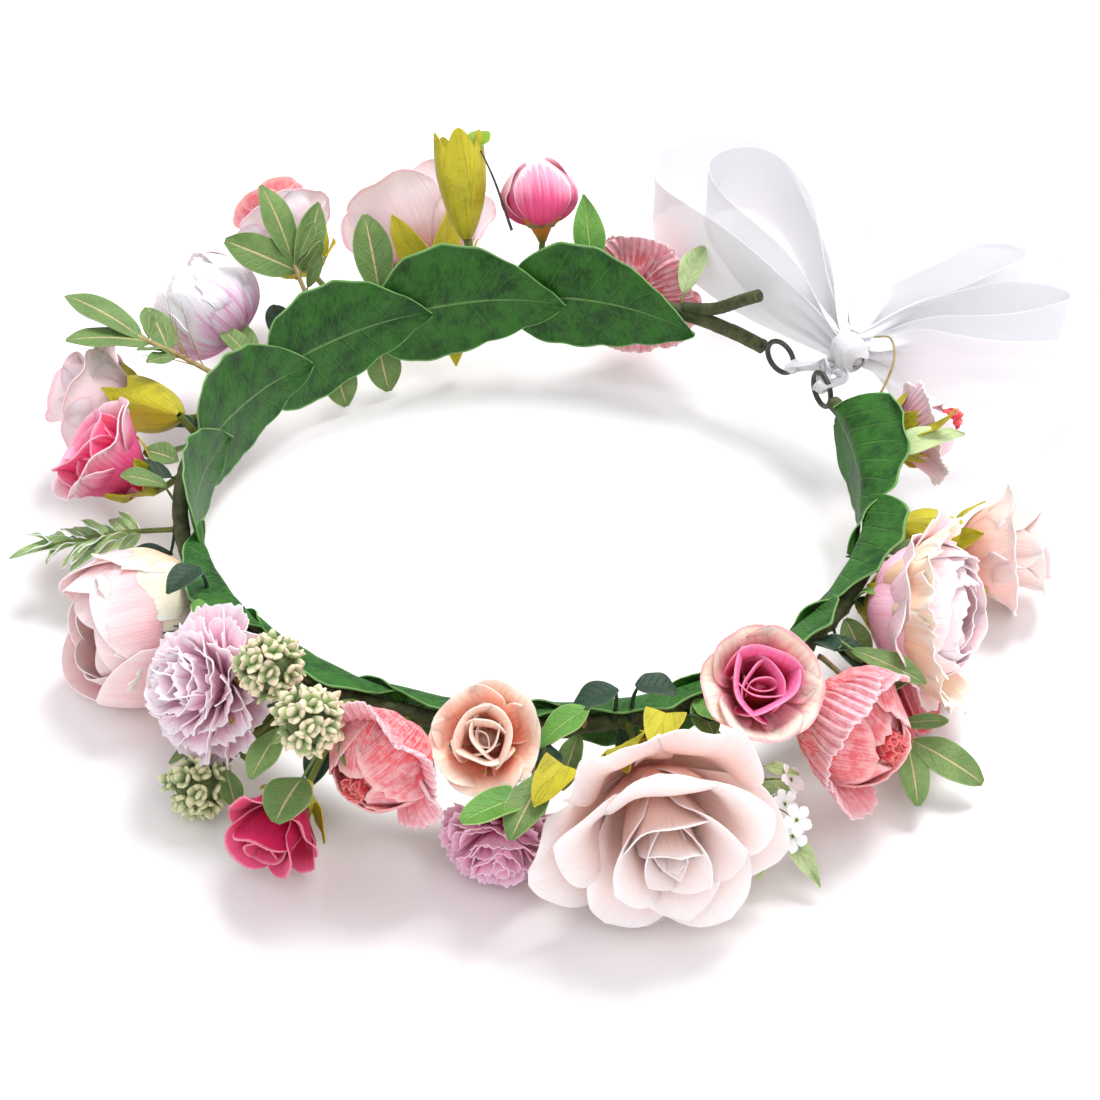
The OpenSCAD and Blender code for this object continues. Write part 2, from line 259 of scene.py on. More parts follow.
def rgb(r, g, b):
    """A screen colour, 0 to 255, as the linear colour that shaders take."""
    c = np.array([r, g, b]) / 255.0
    return tuple(np.where(c <= 0.04045, c / 12.92, ((c + 0.055) / 1.055) ** 2.4)) + (1.0,)


class Graph:
    """A short way to write a material's nodes. A socket given as a value is linked."""

    def __init__(self, name):
        self.mat = bpy.data.materials.new(name)
        self.mat.use_nodes = True
        self.tree = self.mat.node_tree
        self.tree.nodes.clear()

    def node(self, kind, inputs=(), **props):
        n = self.tree.nodes.new(kind)
        for key, value in props.items():
            setattr(n, key, value)
        for key, value in dict(inputs).items():
            if isinstance(value, bpy.types.NodeSocket):
                self.tree.links.new(value, n.inputs[key])
            else:
                n.inputs[key].default_value = value
        return n

    def math(self, op, a, b=0.0, clamp=False):
        n = self.node("ShaderNodeMath", {0: a, 1: b}, operation=op)
        n.use_clamp = clamp
        return n.outputs[0]

    def mix(self, factor, a, b, blend="MIX"):
        n = self.node("ShaderNodeMix", data_type="RGBA", blend_type=blend)
        for index, value in ((0, factor), (6, a), (7, b)):
            if isinstance(value, bpy.types.NodeSocket):
                self.tree.links.new(value, n.inputs[index])
            else:
                n.inputs[index].default_value = value
        return n.outputs[2]

    def ramp(self, factor, stops):
        n = self.node("ShaderNodeValToRGB", {0: factor})
        n.color_ramp.interpolation = "EASE"
        while len(n.color_ramp.elements) < len(stops):
            n.color_ramp.elements.new(0.5)
        for element, (at, colour) in zip(n.color_ramp.elements, stops):
            element.position = at
            element.color = colour
        return n.outputs[0]

    def step(self, value, low, high):
        n = self.node("ShaderNodeMapRange", {0: value, 1: low, 2: high, 3: 0.0, 4: 1.0},
                      interpolation_type="SMOOTHSTEP")
        return n.outputs[0]

    def noise(self, vector, scale, detail=2.0, rough=0.5):
        n = self.node("ShaderNodeTexNoise", {"Vector": vector, "Scale": scale,
                                            "Detail": detail, "Roughness": rough})
        return n.outputs[0]

    def tone(self):
        """The (across, along, random) values of a vertex, as three sockets."""
        a = self.node("ShaderNodeAttribute", attribute_name="tone")
        s = self.node("ShaderNodeSeparateXYZ", {0: a.outputs["Vector"]})
        return s.outputs[0], s.outputs[1], s.outputs[2]

    def vector(self, x, y, z):
        return self.node("ShaderNodeCombineXYZ", {0: x, 1: y, 2: z}).outputs[0]

    def place(self):
        return self.node("ShaderNodeTexCoord").outputs["Object"]

    def finish(self, colour, rough, bump=None, bump_size=0.0002, sheen=0.0, scatter=0.0,
               alpha=1.0, specular=0.4):
        out = self.node("ShaderNodeOutputMaterial")
        p = self.node("ShaderNodeBsdfPrincipled", {"Base Color": colour, "Roughness": rough})
        p.inputs["Specular IOR Level"].default_value = specular
        p.inputs["Sheen Weight"].default_value = sheen
        p.inputs["Sheen Roughness"].default_value = 0.45
        p.inputs["Sheen Tint"].default_value = (1, 1, 1, 1)
        p.inputs["Subsurface Weight"].default_value = scatter
        p.inputs["Subsurface Radius"].default_value = (1.0, 0.55, 0.45)
        p.inputs["Subsurface Scale"].default_value = 0.002
        p.inputs["Alpha"].default_value = alpha
        if bump is not None:
            b = self.node("ShaderNodeBump", {"Height": bump, "Strength": 1.0,
                                            "Distance": bump_size})
            self.tree.links.new(b.outputs[0], p.inputs["Normal"])
        self.tree.links.new(p.outputs[0], out.inputs[0])
        return self.mat


def stops(rows):
    """Colour stops from rows of (place, red, green, blue), the colours as for rgb."""
    return [(at, rgb(*colour)) for at, *colour in rows]


def petal_cloth(name, front, back=None, edge=None, edge_from=0.88, streak=0.12, fine=46.0,
                frost=None, rough=0.66, sheen=0.06, bump=0.00022):
    """Silk or velvet. front and back are colours along the petal from its base to its rim, in rows
    for stops; their deeper, more saturated feet are partly the silk's own tint and partly painted
    shade where the petals overlap. edge and frost are one screen colour each."""
    g = Graph(name)
    u, v, rnd = g.tone()
    side = g.node("ShaderNodeAttribute", attribute_name="side").outputs["Fac"]
    seed = g.math("MULTIPLY", rnd, 37.0)
    lines = g.noise(g.vector(g.math("MULTIPLY", u, fine * 0.16), g.math("MULTIPLY", v, 0.9), seed),
                    1.6, 3.0, 0.6)
    threads = g.noise(g.vector(g.math("MULTIPLY", u, fine), g.math("MULTIPLY", v, 3.0), seed), 1.0, 2.0)
    at = g.math("ADD", v, g.math("MULTIPLY", g.math("SUBTRACT", lines, 0.5), streak * 2.2))
    colour = g.ramp(at, stops(front))
    if back:
        colour = g.mix(side, colour, g.ramp(at, stops(back)))
    if frost:
        cloud = g.noise(g.place(), 420.0, 4.0, 0.65)
        patch = g.step(g.math("ADD", g.math("MULTIPLY", cloud, 0.7), g.math("MULTIPLY", threads, 0.5)),
                       0.52, 0.7)
        colour = g.mix(g.math("MULTIPLY", patch, 0.75), colour, rgb(*frost))
    if edge:
        rim = g.math("MAXIMUM", g.step(v, edge_from, 0.985),
                     g.step(g.math("ABSOLUTE", u), edge_from, 0.99))
        rim = g.math("MULTIPLY", rim, g.math("ADD", 0.12, g.math("MULTIPLY", lines, 0.75)), clamp=True)
        colour = g.mix(rim, colour, rgb(*edge))
    shade = g.math("ADD", 0.93, g.math("MULTIPLY", threads, 0.13))
    tint = g.math("ADD", 0.95, g.math("MULTIPLY", rnd, 0.08))
    grey = g.math("MULTIPLY", shade, tint)
    colour = g.mix(1.0, colour, g.vector(grey, grey, grey), "MULTIPLY")
    weave = g.noise(g.place(), 2600.0, 1.0)
    height = g.math("ADD", g.math("MULTIPLY", threads, 0.8), g.math("MULTIPLY", weave, 0.35))
    roughness = g.math("ADD", rough - 0.05, g.math("MULTIPLY", lines, 0.14))
    return g.finish(colour, roughness, height, bump, sheen, 0.3, specular=0.2)


def leaf_cloth(name, dark, light, rib, edge, veins=7.0, rough=0.5, vein_light=0.35, mottle=0.5,
               sheen=0.04, rib_width=0.06, specular=0.35, shade_from=0.25, relief=0.0003):
    """A printed leaf: pale midrib and cut edge, side veins running forward from the midrib."""
    g = Graph(name)
    u, v, rnd = g.tone()
    away = g.math("ABSOLUTE", u)
    # cloud and grain mix the dark and light greens at random. Where mottle is strong, as on the satin
    # lining, the light patches are partly painted highlight standing in for the satin's sheen.
    cloud = g.noise(g.place(), 130.0, 4.0, 0.6)
    grain = g.noise(g.vector(g.math("MULTIPLY", u, 9.0), g.math("MULTIPLY", v, 60.0),
                             g.math("MULTIPLY", rnd, 31.0)), 1.0, 2.0)
    blend = g.math("ADD", g.math("MULTIPLY", cloud, mottle), g.math("MULTIPLY", grain, 0.35))
    colour = g.mix(g.step(blend, shade_from, 0.72), dark, light)
    wavy = g.math("SUBTRACT", g.math("MULTIPLY", v, veins), g.math("MULTIPLY", away, 1.6))
    vein = g.math("ABSOLUTE", g.math("SUBTRACT", g.math("FRACT", wavy), 0.5))
    vein = g.math("SUBTRACT", 1.0, g.step(vein, 0.0, 0.09))
    fade = g.math("MULTIPLY", vein, g.math("SUBTRACT", 1.0, g.step(away, 0.55, 0.95)))
    colour = g.mix(g.math("MULTIPLY", fade, vein_light), colour, rib)
    middle = g.math("SUBTRACT", 1.0, g.step(away, rib_width * 0.4, rib_width))
    colour = g.mix(g.math("MULTIPLY", middle, 0.75), colour, rib)
    colour = g.mix(g.math("MULTIPLY", g.step(away, 0.955, 0.985), 0.85), colour, edge)
    height = g.math("ADD", g.math("MULTIPLY", fade, -0.5), g.math("MULTIPLY", grain, 0.5))
    height = g.math("ADD", height, g.math("MULTIPLY", middle, -0.8))
    roughness = g.math("ADD", rough - 0.08, g.math("MULTIPLY", cloud, 0.2))
    return g.finish(colour, roughness, height, relief, sheen, specular=specular)


def grained(name, dark, light, scale=220.0, rough=0.6, bump=0.0003):
    """A plain mottled surface with a fine grain, for stems, tape, wire and moulded pieces."""
    g = Graph(name)
    at = g.place()
    cloud = g.noise(at, scale, 5.0, 0.65)
    grain = g.noise(at, scale * 7, 2.0)
    colour = g.mix(g.step(cloud, 0.3, 0.7), dark, light)
    roughness = g.math("ADD", rough - 0.1, g.math("MULTIPLY", grain, 0.2))
    height = g.math("ADD", cloud, g.math("MULTIPLY", grain, 0.4))
    return g.finish(colour, roughness, height, bump)


def tipped(name, base, middle, tip, from_=0.35):
    """Small fleshy or papery pieces that change colour from base to tip."""
    g = Graph(name)
    _, v, rnd = g.tone()
    cloud = g.noise(g.place(), 520.0, 3.0)
    at = g.math("ADD", v, g.math("MULTIPLY", g.math("SUBTRACT", cloud, 0.5), 0.35))
    at = g.math("ADD", at, g.math("MULTIPLY", g.math("SUBTRACT", rnd, 0.5), 0.2))
    colour = g.ramp(at, [(0.0, base), (from_, middle), (0.93, tip)])
    return g.finish(colour, 0.6, cloud, 0.0002, 0.15, specular=0.3)


def organza(name):
    """Sheer ribbon: a fine crosswise weave and a denser selvedge at both edges."""
    g = Graph(name)
    u, v, rnd = g.tone()
    away = g.math("ABSOLUTE", u)
    warp = g.node("ShaderNodeTexWave", {"Vector": g.vector(u, 0.0, 0.0), "Scale": 22.0,
                                       "Distortion": 0.0}).outputs[1]
    weft = g.node("ShaderNodeTexWave", {"Vector": g.vector(v, 0.0, 0.0), "Scale": 160.0,
                                       "Distortion": 0.0}).outputs[1]
    selvedge = g.step(away, 0.92, 0.97)
    cloud = g.noise(g.vector(g.math("MULTIPLY", u, 2.0), g.math("MULTIPLY", v, 7.0), rnd), 1.0, 3.0)
    tone = g.math("ADD", 0.93, g.math("MULTIPLY", cloud, 0.06))
    tone = g.math("ADD", tone, g.math("MULTIPLY", selvedge, 0.04))
    colour = g.mix(1.0, rgb(252, 252, 255), g.vector(tone, tone, tone), "MULTIPLY")
    height = g.math("ADD", g.math("MULTIPLY", warp, 0.4), g.math("MULTIPLY", weft, 0.4))
    return g.finish(colour, 0.42, height, 0.00004, 0.6, 0.0, alpha=0.62, specular=0.35)


# ---------------------------------------------------------------- petals

def petal(rng, length, half, base=(1.0, 0.0), lean=(10, 30), lip=0.0, lip_at=0.7, cup=10.0,
          tip=0.3, point=0.0, roll=0.0, ruffle=0.0, waves=2.5, ribs=0.0, rib_count=8, wobble=0.25,
          fray=0.0, narrow=0.35, widest=0.6, rows=20, cols=17):
    """A petal that rises from (radius, height) base. It leans outward by lean degrees from the
    axis at its foot and at lip_at, and its rim turns out by lip degrees more. cup is the radius
    that it curves round across its width. Returns its grid and its tone values."""
    v = np.linspace(0, 1, rows)[:, None] * np.ones((1, cols))
    u = np.linspace(-1, 1, cols)[None, :] * np.ones((rows, 1))
    reach = 1 - tip * np.abs(u) ** 2.6 + point * (1 - np.abs(u)) ** 3
    if fray:
        tooth = np.abs(np.modf(u * 4.3 + rng.uniform(0, 1))[0] - 0.5) * 2
        reach = reach - fray * tooth + fray * 0.5 * np.sin(u * 23 + rng.uniform(0, 6))
    vv = v * reach
    t = np.linspace(0, 1.25, 70)
    phi = np.radians(lean[0] + (lean[1] - lean[0]) * smooth(t / lip_at)
                     + lip * smooth((t - lip_at) / (1 - lip_at)))
    step_r = np.concatenate([[0], np.cumsum(np.sin(phi[:-1]))]) * length * (t[1] - t[0])
    step_z = np.concatenate([[0], np.cumsum(np.cos(phi[:-1]))]) * length * (t[1] - t[0])
    r, z, p = (np.interp(vv, t, a) for a in (base[0] + step_r, base[1] + step_z, phi))
    rise = np.sin(np.clip(vv / widest, 0, 1) * math.pi / 2)
    fall = 1 - 0.1 * np.clip((vv - widest) / (1 - widest), 0, 1) ** 2
    width = half * (narrow + (1 - narrow) * rise) * fall
    bend = cup * (0.5 + 0.5 * smooth(vv * 1.4)) * (1 + abs(lip) / 55 * smooth((vv - lip_at) / 0.35))
    angle = np.clip(u * width / bend, -2.5, 2.5)
    across, inward = np.sin(angle) * bend, (1 - np.cos(angle)) * bend
    out = np.clip((np.abs(u) - 0.5) / 0.5, 0, 1)
    inward = inward - roll * out ** 2 * smooth(vv * 1.3)
    phase = rng.uniform(0, 6.28, 6)
    inward = inward + ruffle * vv ** 3 * np.sin(waves * math.pi * u + phase[0])
    inward = inward + ribs * np.cos(rib_count * math.pi * u) * smooth(vv * 1.6) * (1 - 0.6 * vv ** 6)
    inward = inward + wobble * (np.sin(2.2 * u + 3.1 * vv + phase[1]) * np.sin(4.2 * vv + phase[2])
                                + 0.5 * np.sin(5.3 * u - 2.1 * vv + phase[3])) * smooth(vv * 2)
    grid = np.stack([r - inward * np.cos(p), across, z + inward * np.sin(p)], -1)
    tone = np.stack([u, np.clip(v * (1 - 0.1 * tip * u ** 2), 0, 1), np.full_like(u, rng.uniform())], -1)
    return grid, tone


def ring(piece, rng, count, start=0.0, mat=0, spread=360.0, jitter=5.0, thick=0.35, **shape):
    """count petals spread evenly round the flower's axis, each a little different."""
    for i in range(count):
        varied = dict(shape)
        varied["length"] = shape["length"] * rng.uniform(0.94, 1.06)
        varied["half"] = shape["half"] * rng.uniform(0.93, 1.06)
        a, b = shape.get("lean", (10, 30))
        shift = rng.uniform(-4, 4)
        varied["lean"] = (a + shift * 0.5, b + shift)
        varied["lip"] = shape.get("lip", 0.0) * rng.uniform(0.7, 1.25)
        grid, tone = petal(rng, **varied)
        az = start + spread * i / count + rng.uniform(-jitter, jitter)
        rng.uniform(-1, 1)  # not used: it keeps every later draw as it was
        piece.add_sheet(grid @ turn_z(az).T, thick, tone, mat)


# ---------------------------------------------------------------- colours read from the object

CALYX_BRIGHT = rgb(190, 180, 34)
CALYX_DEEP = rgb(132, 124, 20)

PETALS = {
    # the pale silk's saturated salmon foot and warm middle are partly the rose's own blush and partly
    # painted shade, for the peach shade deep inside the open rose
    "pale": petal_cloth("pale_silk", [(0, 252, 146, 120), (0.35, 255, 186, 164), (0.7, 255, 214, 202),
        (1, 255, 236, 230)], back=[(0, 254, 200, 180), (0.5, 255, 224, 216), (1, 255, 240, 238)],
        edge=(255, 248, 248), streak=0.14),
    "faint": petal_cloth("faint_silk", [(0, 252, 176, 180), (0.5, 254, 216, 222), (0.85, 255, 234, 238)],
        edge=(250, 180, 198), edge_from=0.93),
    "hot": petal_cloth("hot_silk", [(0, 176, 4, 44), (0.4, 214, 14, 74), (0.72, 234, 44, 108),
        (1, 244, 112, 152)], back=[(0, 222, 30, 88), (0.6, 240, 84, 134), (1, 250, 150, 180)],
        edge=(252, 200, 214), edge_from=0.92, streak=0.2),
    "hot_outer": petal_cloth("hot_silk_outer", [(0, 224, 30, 90), (0.5, 240, 84, 134),
        (0.85, 248, 160, 184), (1, 252, 216, 224)], back=[(0, 234, 60, 112), (0.5, 246, 130, 164),
        (1, 252, 206, 216)], edge=(254, 228, 234), edge_from=0.9, streak=0.3),
    "twotone_in": petal_cloth("rose_silk_heart", [(0, 120, 0, 10), (0.6, 176, 2, 30), (0.9, 214, 16, 70),
        (1, 240, 90, 146)], back=[(0, 206, 12, 64), (0.6, 236, 54, 118), (1, 244, 120, 170)],
        edge=(250, 176, 206), edge_from=0.93, streak=0.16),
    "twotone_out": petal_cloth("rose_silk_cream", [(0, 220, 20, 84), (0.22, 244, 104, 148),
        (0.38, 253, 212, 194), (0.6, 255, 244, 218)], back=[(0, 232, 60, 116), (0.5, 248, 168, 180),
        (1, 253, 234, 214)], edge=(240, 110, 160), edge_from=0.93, streak=0.36),
    "coral": petal_cloth("coral_velvet", [(0, 214, 40, 50), (0.5, 236, 88, 96), (1, 244, 126, 132)],
        edge=(253, 214, 210), edge_from=0.92, frost=(250, 184, 188), rough=0.85, sheen=0.25, streak=0.2,
        bump=0.0004),
    "coral_deep": petal_cloth("coral_heart", [(0, 140, 2, 14), (0.5, 200, 18, 30), (1, 234, 76, 80)],
        edge=(248, 158, 154), edge_from=0.9, rough=0.75, sheen=0.1, streak=0.25),
    "ribbed": petal_cloth("ribbed_coral", [(0, 214, 50, 66), (0.35, 234, 104, 116), (0.9, 242, 160, 172)],
        back=[(0, 228, 84, 96), (0.6, 240, 138, 148), (1, 246, 180, 190)], edge=(254, 226, 228),
        edge_from=0.9, frost=(252, 204, 212), rough=0.85, sheen=0.25, streak=0.22, bump=0.0005),
    "lilac": petal_cloth("lilac_silk", [(0, 250, 140, 184), (0.35, 255, 184, 212), (0.75, 255, 214, 230),
        (1, 255, 240, 246)], edge=(255, 248, 252), edge_from=0.9, streak=0.26, fine=30.0),
    "lilac_dark": petal_cloth("mauve_silk", [(0, 232, 84, 142), (0.4, 250, 134, 180),
        (0.85, 255, 192, 218)], edge=(253, 222, 240), edge_from=0.9, streak=0.28, fine=30.0),
    "crimson": petal_cloth("crimson_silk", [(0, 110, 2, 34), (0.5, 176, 12, 66), (0.9, 208, 36, 94)],
        back=[(0, 150, 8, 50), (0.6, 204, 40, 92), (1, 226, 84, 126)], edge=(246, 176, 192),
        edge_from=0.95, streak=0.16),
    "peach": petal_cloth("peach_silk", [(0, 236, 100, 74), (0.35, 246, 150, 122), (0.7, 250, 190, 166),
        (1, 253, 220, 202)], edge=(255, 236, 222), edge_from=0.92, streak=0.22),
    "cream": petal_cloth("cream_silk", [(0, 240, 90, 90), (0.18, 250, 190, 150), (0.5, 254, 236, 204),
        (1, 255, 248, 226)], edge=(255, 252, 240), edge_from=0.94, streak=0.16),
    "pink_cup": petal_cloth("cup_silk", [(0, 238, 80, 84), (0.25, 252, 148, 150), (0.6, 255, 192, 194),
        (1, 255, 226, 226)], edge=(254, 238, 238), edge_from=0.94, streak=0.2),
    "bud": petal_cloth("bud_silk", [(0, 232, 110, 176), (0.34, 246, 178, 216), (0.66, 254, 234, 246),
        (1, 255, 247, 251)], edge=(255, 250, 253), edge_from=0.95, streak=0.6, fine=34.0),
    "peony": petal_cloth("peony_silk", [(0, 246, 112, 140), (0.35, 255, 170, 192), (0.7, 255, 206, 220),
        (1, 255, 232, 236)], edge=(255, 242, 242), edge_from=0.93, streak=0.24, fine=34.0),
    "coral_tip": petal_cloth("coral_tip_silk", [(0, 250, 190, 180), (0.4, 250, 204, 196),
        (0.7, 240, 124, 136), (1, 216, 44, 70)], back=[(0, 248, 196, 190), (0.7, 242, 146, 156),
        (1, 224, 70, 90)], edge=(250, 206, 204), edge_from=0.95, streak=0.24),
    "peach_frill": petal_cloth("peach_frill_silk", [(0, 242, 124, 96), (0.4, 250, 184, 150),
        (0.75, 253, 222, 192), (1, 255, 244, 228)], edge=(255, 250, 240), edge_from=0.92, streak=0.24),
}
# The satin lining's strong mottle is partly the print's own uneven green and partly painted highlight: its
# light patches stand in for the satin's mottled sheen.
LINING = leaf_cloth("lining_satin", rgb(10, 52, 14), rgb(48, 104, 30), rgb(104, 146, 78),
                    rgb(122, 168, 98), veins=9.0, rough=0.5, vein_light=0.26, rib_width=0.04,
                    mottle=0.8, sheen=0.0, specular=0.26, shade_from=0.34, relief=0.0007)
OLIVE = leaf_cloth("olive_leaf", rgb(84, 118, 58), rgb(132, 160, 92), rgb(206, 190, 140),
                   rgb(150, 170, 110), veins=7.0, rib_width=0.1, vein_light=0.2)
FRESH = leaf_cloth("fresh_leaf", rgb(74, 132, 48), rgb(124, 172, 74), rgb(160, 196, 110),
                   rgb(176, 206, 130), veins=6.0, rib_width=0.08, vein_light=0.25)
DARK = leaf_cloth("dark_leaf", rgb(22, 50, 34), rgb(44, 78, 52), rgb(70, 100, 70), rgb(92, 120, 92),
                  veins=6.0, rib_width=0.05, vein_light=0.15, rough=0.42)
VARIEGATED = leaf_cloth("variegated_leaf", rgb(96, 140, 70), rgb(190, 208, 150), rgb(212, 222, 176),
                        rgb(206, 222, 170), veins=6.0, rib_width=0.07, mottle=0.9)
FROSTED = leaf_cloth("frosted_leaf", rgb(110, 150, 90), rgb(176, 204, 130), rgb(226, 238, 222),
                     rgb(240, 246, 244), veins=5.0, rib_width=0.16, vein_light=0.4, mottle=0.7)
CALYX = leaf_cloth("calyx_plastic", CALYX_DEEP, CALYX_BRIGHT, rgb(204, 196, 64), rgb(204, 190, 56),
                   veins=1.5, rib_width=0.04, vein_light=0.1, mottle=0.9, rough=0.55)
CALYX_GREEN = leaf_cloth("calyx_green", rgb(70, 110, 30), rgb(140, 176, 48), rgb(170, 196, 80),
                         rgb(170, 200, 90), veins=1.5, rib_width=0.04, vein_light=0.1, mottle=0.9)
CALYX_RUST = tipped("calyx_rust", rgb(120, 110, 30), rgb(190, 120, 40), rgb(226, 130, 60))
STEM = grained("stem_plastic", rgb(84, 98, 38), rgb(120, 130, 58), 260.0, 0.55)
TWIG = grained("twig_plastic", rgb(140, 118, 70), rgb(186, 166, 116), 300.0, 0.6)
TAPE = grained("floral_tape", rgb(52, 60, 34), rgb(86, 94, 56), 300.0, 0.72, 0.0004)
WIRE = grained("annealed_wire", rgb(44, 42, 38), rgb(74, 70, 64), 600.0, 0.38, 0.0001)
SEDUM = tipped("sedum_leaf", rgb(70, 96, 46), rgb(146, 168, 108), rgb(240, 222, 192), from_=0.6)
SEDUM_GREY = tipped("sedum_leaf_low", rgb(58, 82, 44), rgb(126, 148, 96), rgb(222, 222, 176), from_=0.5)
SEDUM_CORE = grained("sedum_core", rgb(70, 84, 44), rgb(104, 118, 66), 380.0, 0.7)
GYPS = tipped("gypsophila_petal", rgb(206, 222, 190), rgb(246, 248, 248), rgb(253, 253, 255))
RIBBON = organza("organza")


# ---------------------------------------------------------------- the hoop

def arc(start, end, n, reach=0.0, z=HOOP_Z):
    return np.array([on_hoop(a, reach, z) for a in np.linspace(start, end, n)])


def make_hoop():
    """One wrap of tape along both arms, wound in a shallow spiral."""
    def spiral(i, angle):
        turn = i * 0.55 + angle
        step = np.mod(turn, 2 * math.pi) / (2 * math.pi)
        return 0.16 * step + 0.05 * np.sin(7 * angle + i * 0.3) - 0.1
    wrap = Piece()
    wrap.add_tube(arc(LEFT_END, RIGHT_END, 620), TAPE_R, 18, ripple=spiral)
    tape = wrap.build("tape_wrap", [TAPE], 80)
    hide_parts("tape_wrap_right", "tape_wrap_left")
    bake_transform(tape)
    stub = Piece()
    path = bezier([on_hoop(114, 0.5, 31.5), on_hoop(108, 0.6, 35), on_hoop(103, 1.2, 41),
                   on_hoop(99.4, 1.6, 45.4)], 22)
    stub.add_tube(path, 1.85, 14, ripple=lambda i, a: 0.12 * np.mod(i * 0.2 + a / 6.283, 1.0))
    stub.add_tube(np.array([path[-1], path[-1] + unit(path[-1] - path[-3]) * 0.35]), 0.8, 12, mat=1)
    end = stub.build("wire_stub", [TAPE, WIRE], 60)
    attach(end, "hoop_left")
    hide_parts("wire_stub_left")
    for node in ("core_wire_right", "core_wire_left", "end_eye_right", "end_eye_left"):
        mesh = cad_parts[node].data
        mesh.materials.clear()
        mesh.materials.append(WIRE)


make_hoop()


# ---------------------------------------------------------------- the lining leaves

LEAF_H = [36, 32, 28, 26, 26, 26, 30, 38, 40, 40, 40, 36]
LEAF_FROM, LEAF_PITCH, LEAF_SPAN = 73.0, 26.0, 37.0


def lining_leaf(n, rng):
    """Leaf n stands against the inside of the hoop. Its edges turn out over the tape where the
    crown is seen from outside, and its surface buckles a little between the veins."""
    rows, cols = 46, 25
    t = np.linspace(0, 1, rows)[:, None] * np.ones((1, cols))
    s = np.linspace(-1, 1, cols)[None, :] * np.ones((rows, 1))
    outline = 0.5 * np.sin(math.pi * np.clip(t, 0.004, 0.996) ** 0.62) ** 0.75
    low = n in (8, 9)
    height = LEAF_H[n - 1] * outline * (1 + 0.04 * np.sin(7 * t + n) * (s > 0))
    angle = np.radians(LEAF_FROM - LEAF_PITCH * (n - 1) - LEAF_SPAN * t)
    over = 13.0 if n <= 7 else 2.2
    out = np.clip((s * height - 3.4) / 12, 0, 1)
    reach = -TAPE_R - 0.45 - 2.4 * t + over * out ** 1.3 * (1 - smooth((t - 0.7) / 0.3))
    down = np.clip((-s * height - 4.2) / 16, 0, 1)
    reach = reach + 2.0 * down ** 1.4
    buckle = 1.0 * np.sin(15 * t - 2.4 * np.abs(s) + n * 1.7) * np.abs(s) * (1 - np.abs(s) * 0.3)
    edge = 0.9 * np.sin(17 * t + n * 2.1 + 2 * s) * np.abs(s) ** 3
    reach = reach - np.abs(buckle) - np.abs(edge) - 0.5 * (1 - np.abs(s)) ** 2 * np.sin(math.pi * t)
    droop = -3.0 * t ** 3 * (1.6 if low else 0.6)
    fold = (8.0 if n > 3 else 4.5) * out ** 1.2 * (over > 5) * (1 - smooth((t - 0.7) / 0.3))
    z = HOOP_Z + s * height + droop - fold + 0.8 * np.sin(math.pi * t * 1.3 + n)
    grid = np.stack([(HOOP_R + reach) * np.cos(angle), (HOOP_R + reach) * np.sin(angle), z], -1)
    tone = np.stack([s, t, np.full_like(t, rng.uniform())], -1)
    leaf = Piece()
    leaf.add_sheet(grid, 0.4, tone)
    return leaf.build(f"lining_leaf_cloth_{n}", [LINING], 60)


def make_lining():
    rng = np.random.default_rng(11)
    for n in range(1, 13):
        leaf = lining_leaf(n, rng)
        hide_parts(f"lining_leaf_{n}")
        if n == 7:
            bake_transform(leaf)
        else:
            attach(leaf, "hoop_right" if n < 8 else "hoop_left")


make_lining()


# ---------------------------------------------------------------- flowers

# Each flower: angle, reach, height, radius, depth, turn from outward, tilt upward
FLOWERS = {
    "ribbed_coral_rose": (125, 14, 27, 15.5, 17, 0, 10),
    "pink_rosebud": (141.5, 15, 56, 11, 20, 10, 60),
    "pale_rose_back": (157, 44, 24, 24, 28, 0, 18),
    "coral_rose_back": (175.5, 43, 37, 17.5, 26, 0, 20),
    "white_peony_bud": (194, 29, 38, 16, 26, 15, 35),
    "pale_rose_side": (212.5, 37, 25, 17, 24, 0, 8),
    "hot_pink_rose": (228.8, 21.5, 32.5, 14.4, 22, 0, 40),
    "blush_cup_rose": (257.5, 22.5, 21, 21, 26, 0, 8),
    "lilac_carnation": (278, 21, 32, 17, 22, -10, 30),
    "crimson_rose": (295, 36, 16, 13.5, 20, 0, -8),
    "coral_rosebud": (305, 23.5, 34, 14, 26, 0, 10),
    "peach_rose": (317.4, 13.5, 38, 11, 16, 0, 50),
    "small_carnation": (319.5, 24, 13, 13, 18, 0, -15),
    "large_blush_rose": (337.5, 31, 26, 26, 36, 0, -10),
    "two_tone_rose": (352.8, 17, 45.5, 13, 16, -10, 55),
    "coral_velvet_rose": (4, 30, 28.5, 16.5, 26, 0, 12),
    "pink_peony": (26.3, 23, 31, 23, 32, 5, 15),
    "pale_peach_peony": (47.4, 34, 18, 18, 26, 0, 5),
    "coral_rose_end": (66.8, 20.5, 30, 16, 20, 0, 10),
}


def flower_axes(f, extra_turn=0.0, extra_tilt=0.0):
    return turn_z(f[0] + f[5] + extra_turn) @ turn_y(90 - f[6] - extra_tilt)


def heart(p, r, d, mat=0):
    """The closed foot that a flower's petals are gathered on."""
    p.add_blob(np.array([0, 0, -d / 2]), np.diag([1.0, 1.0, d * 0.5]),
               lambda t: 0.3 * r * np.sqrt(np.clip(1 - t ** 2, 0, 1)), 8, 14, mat=mat)


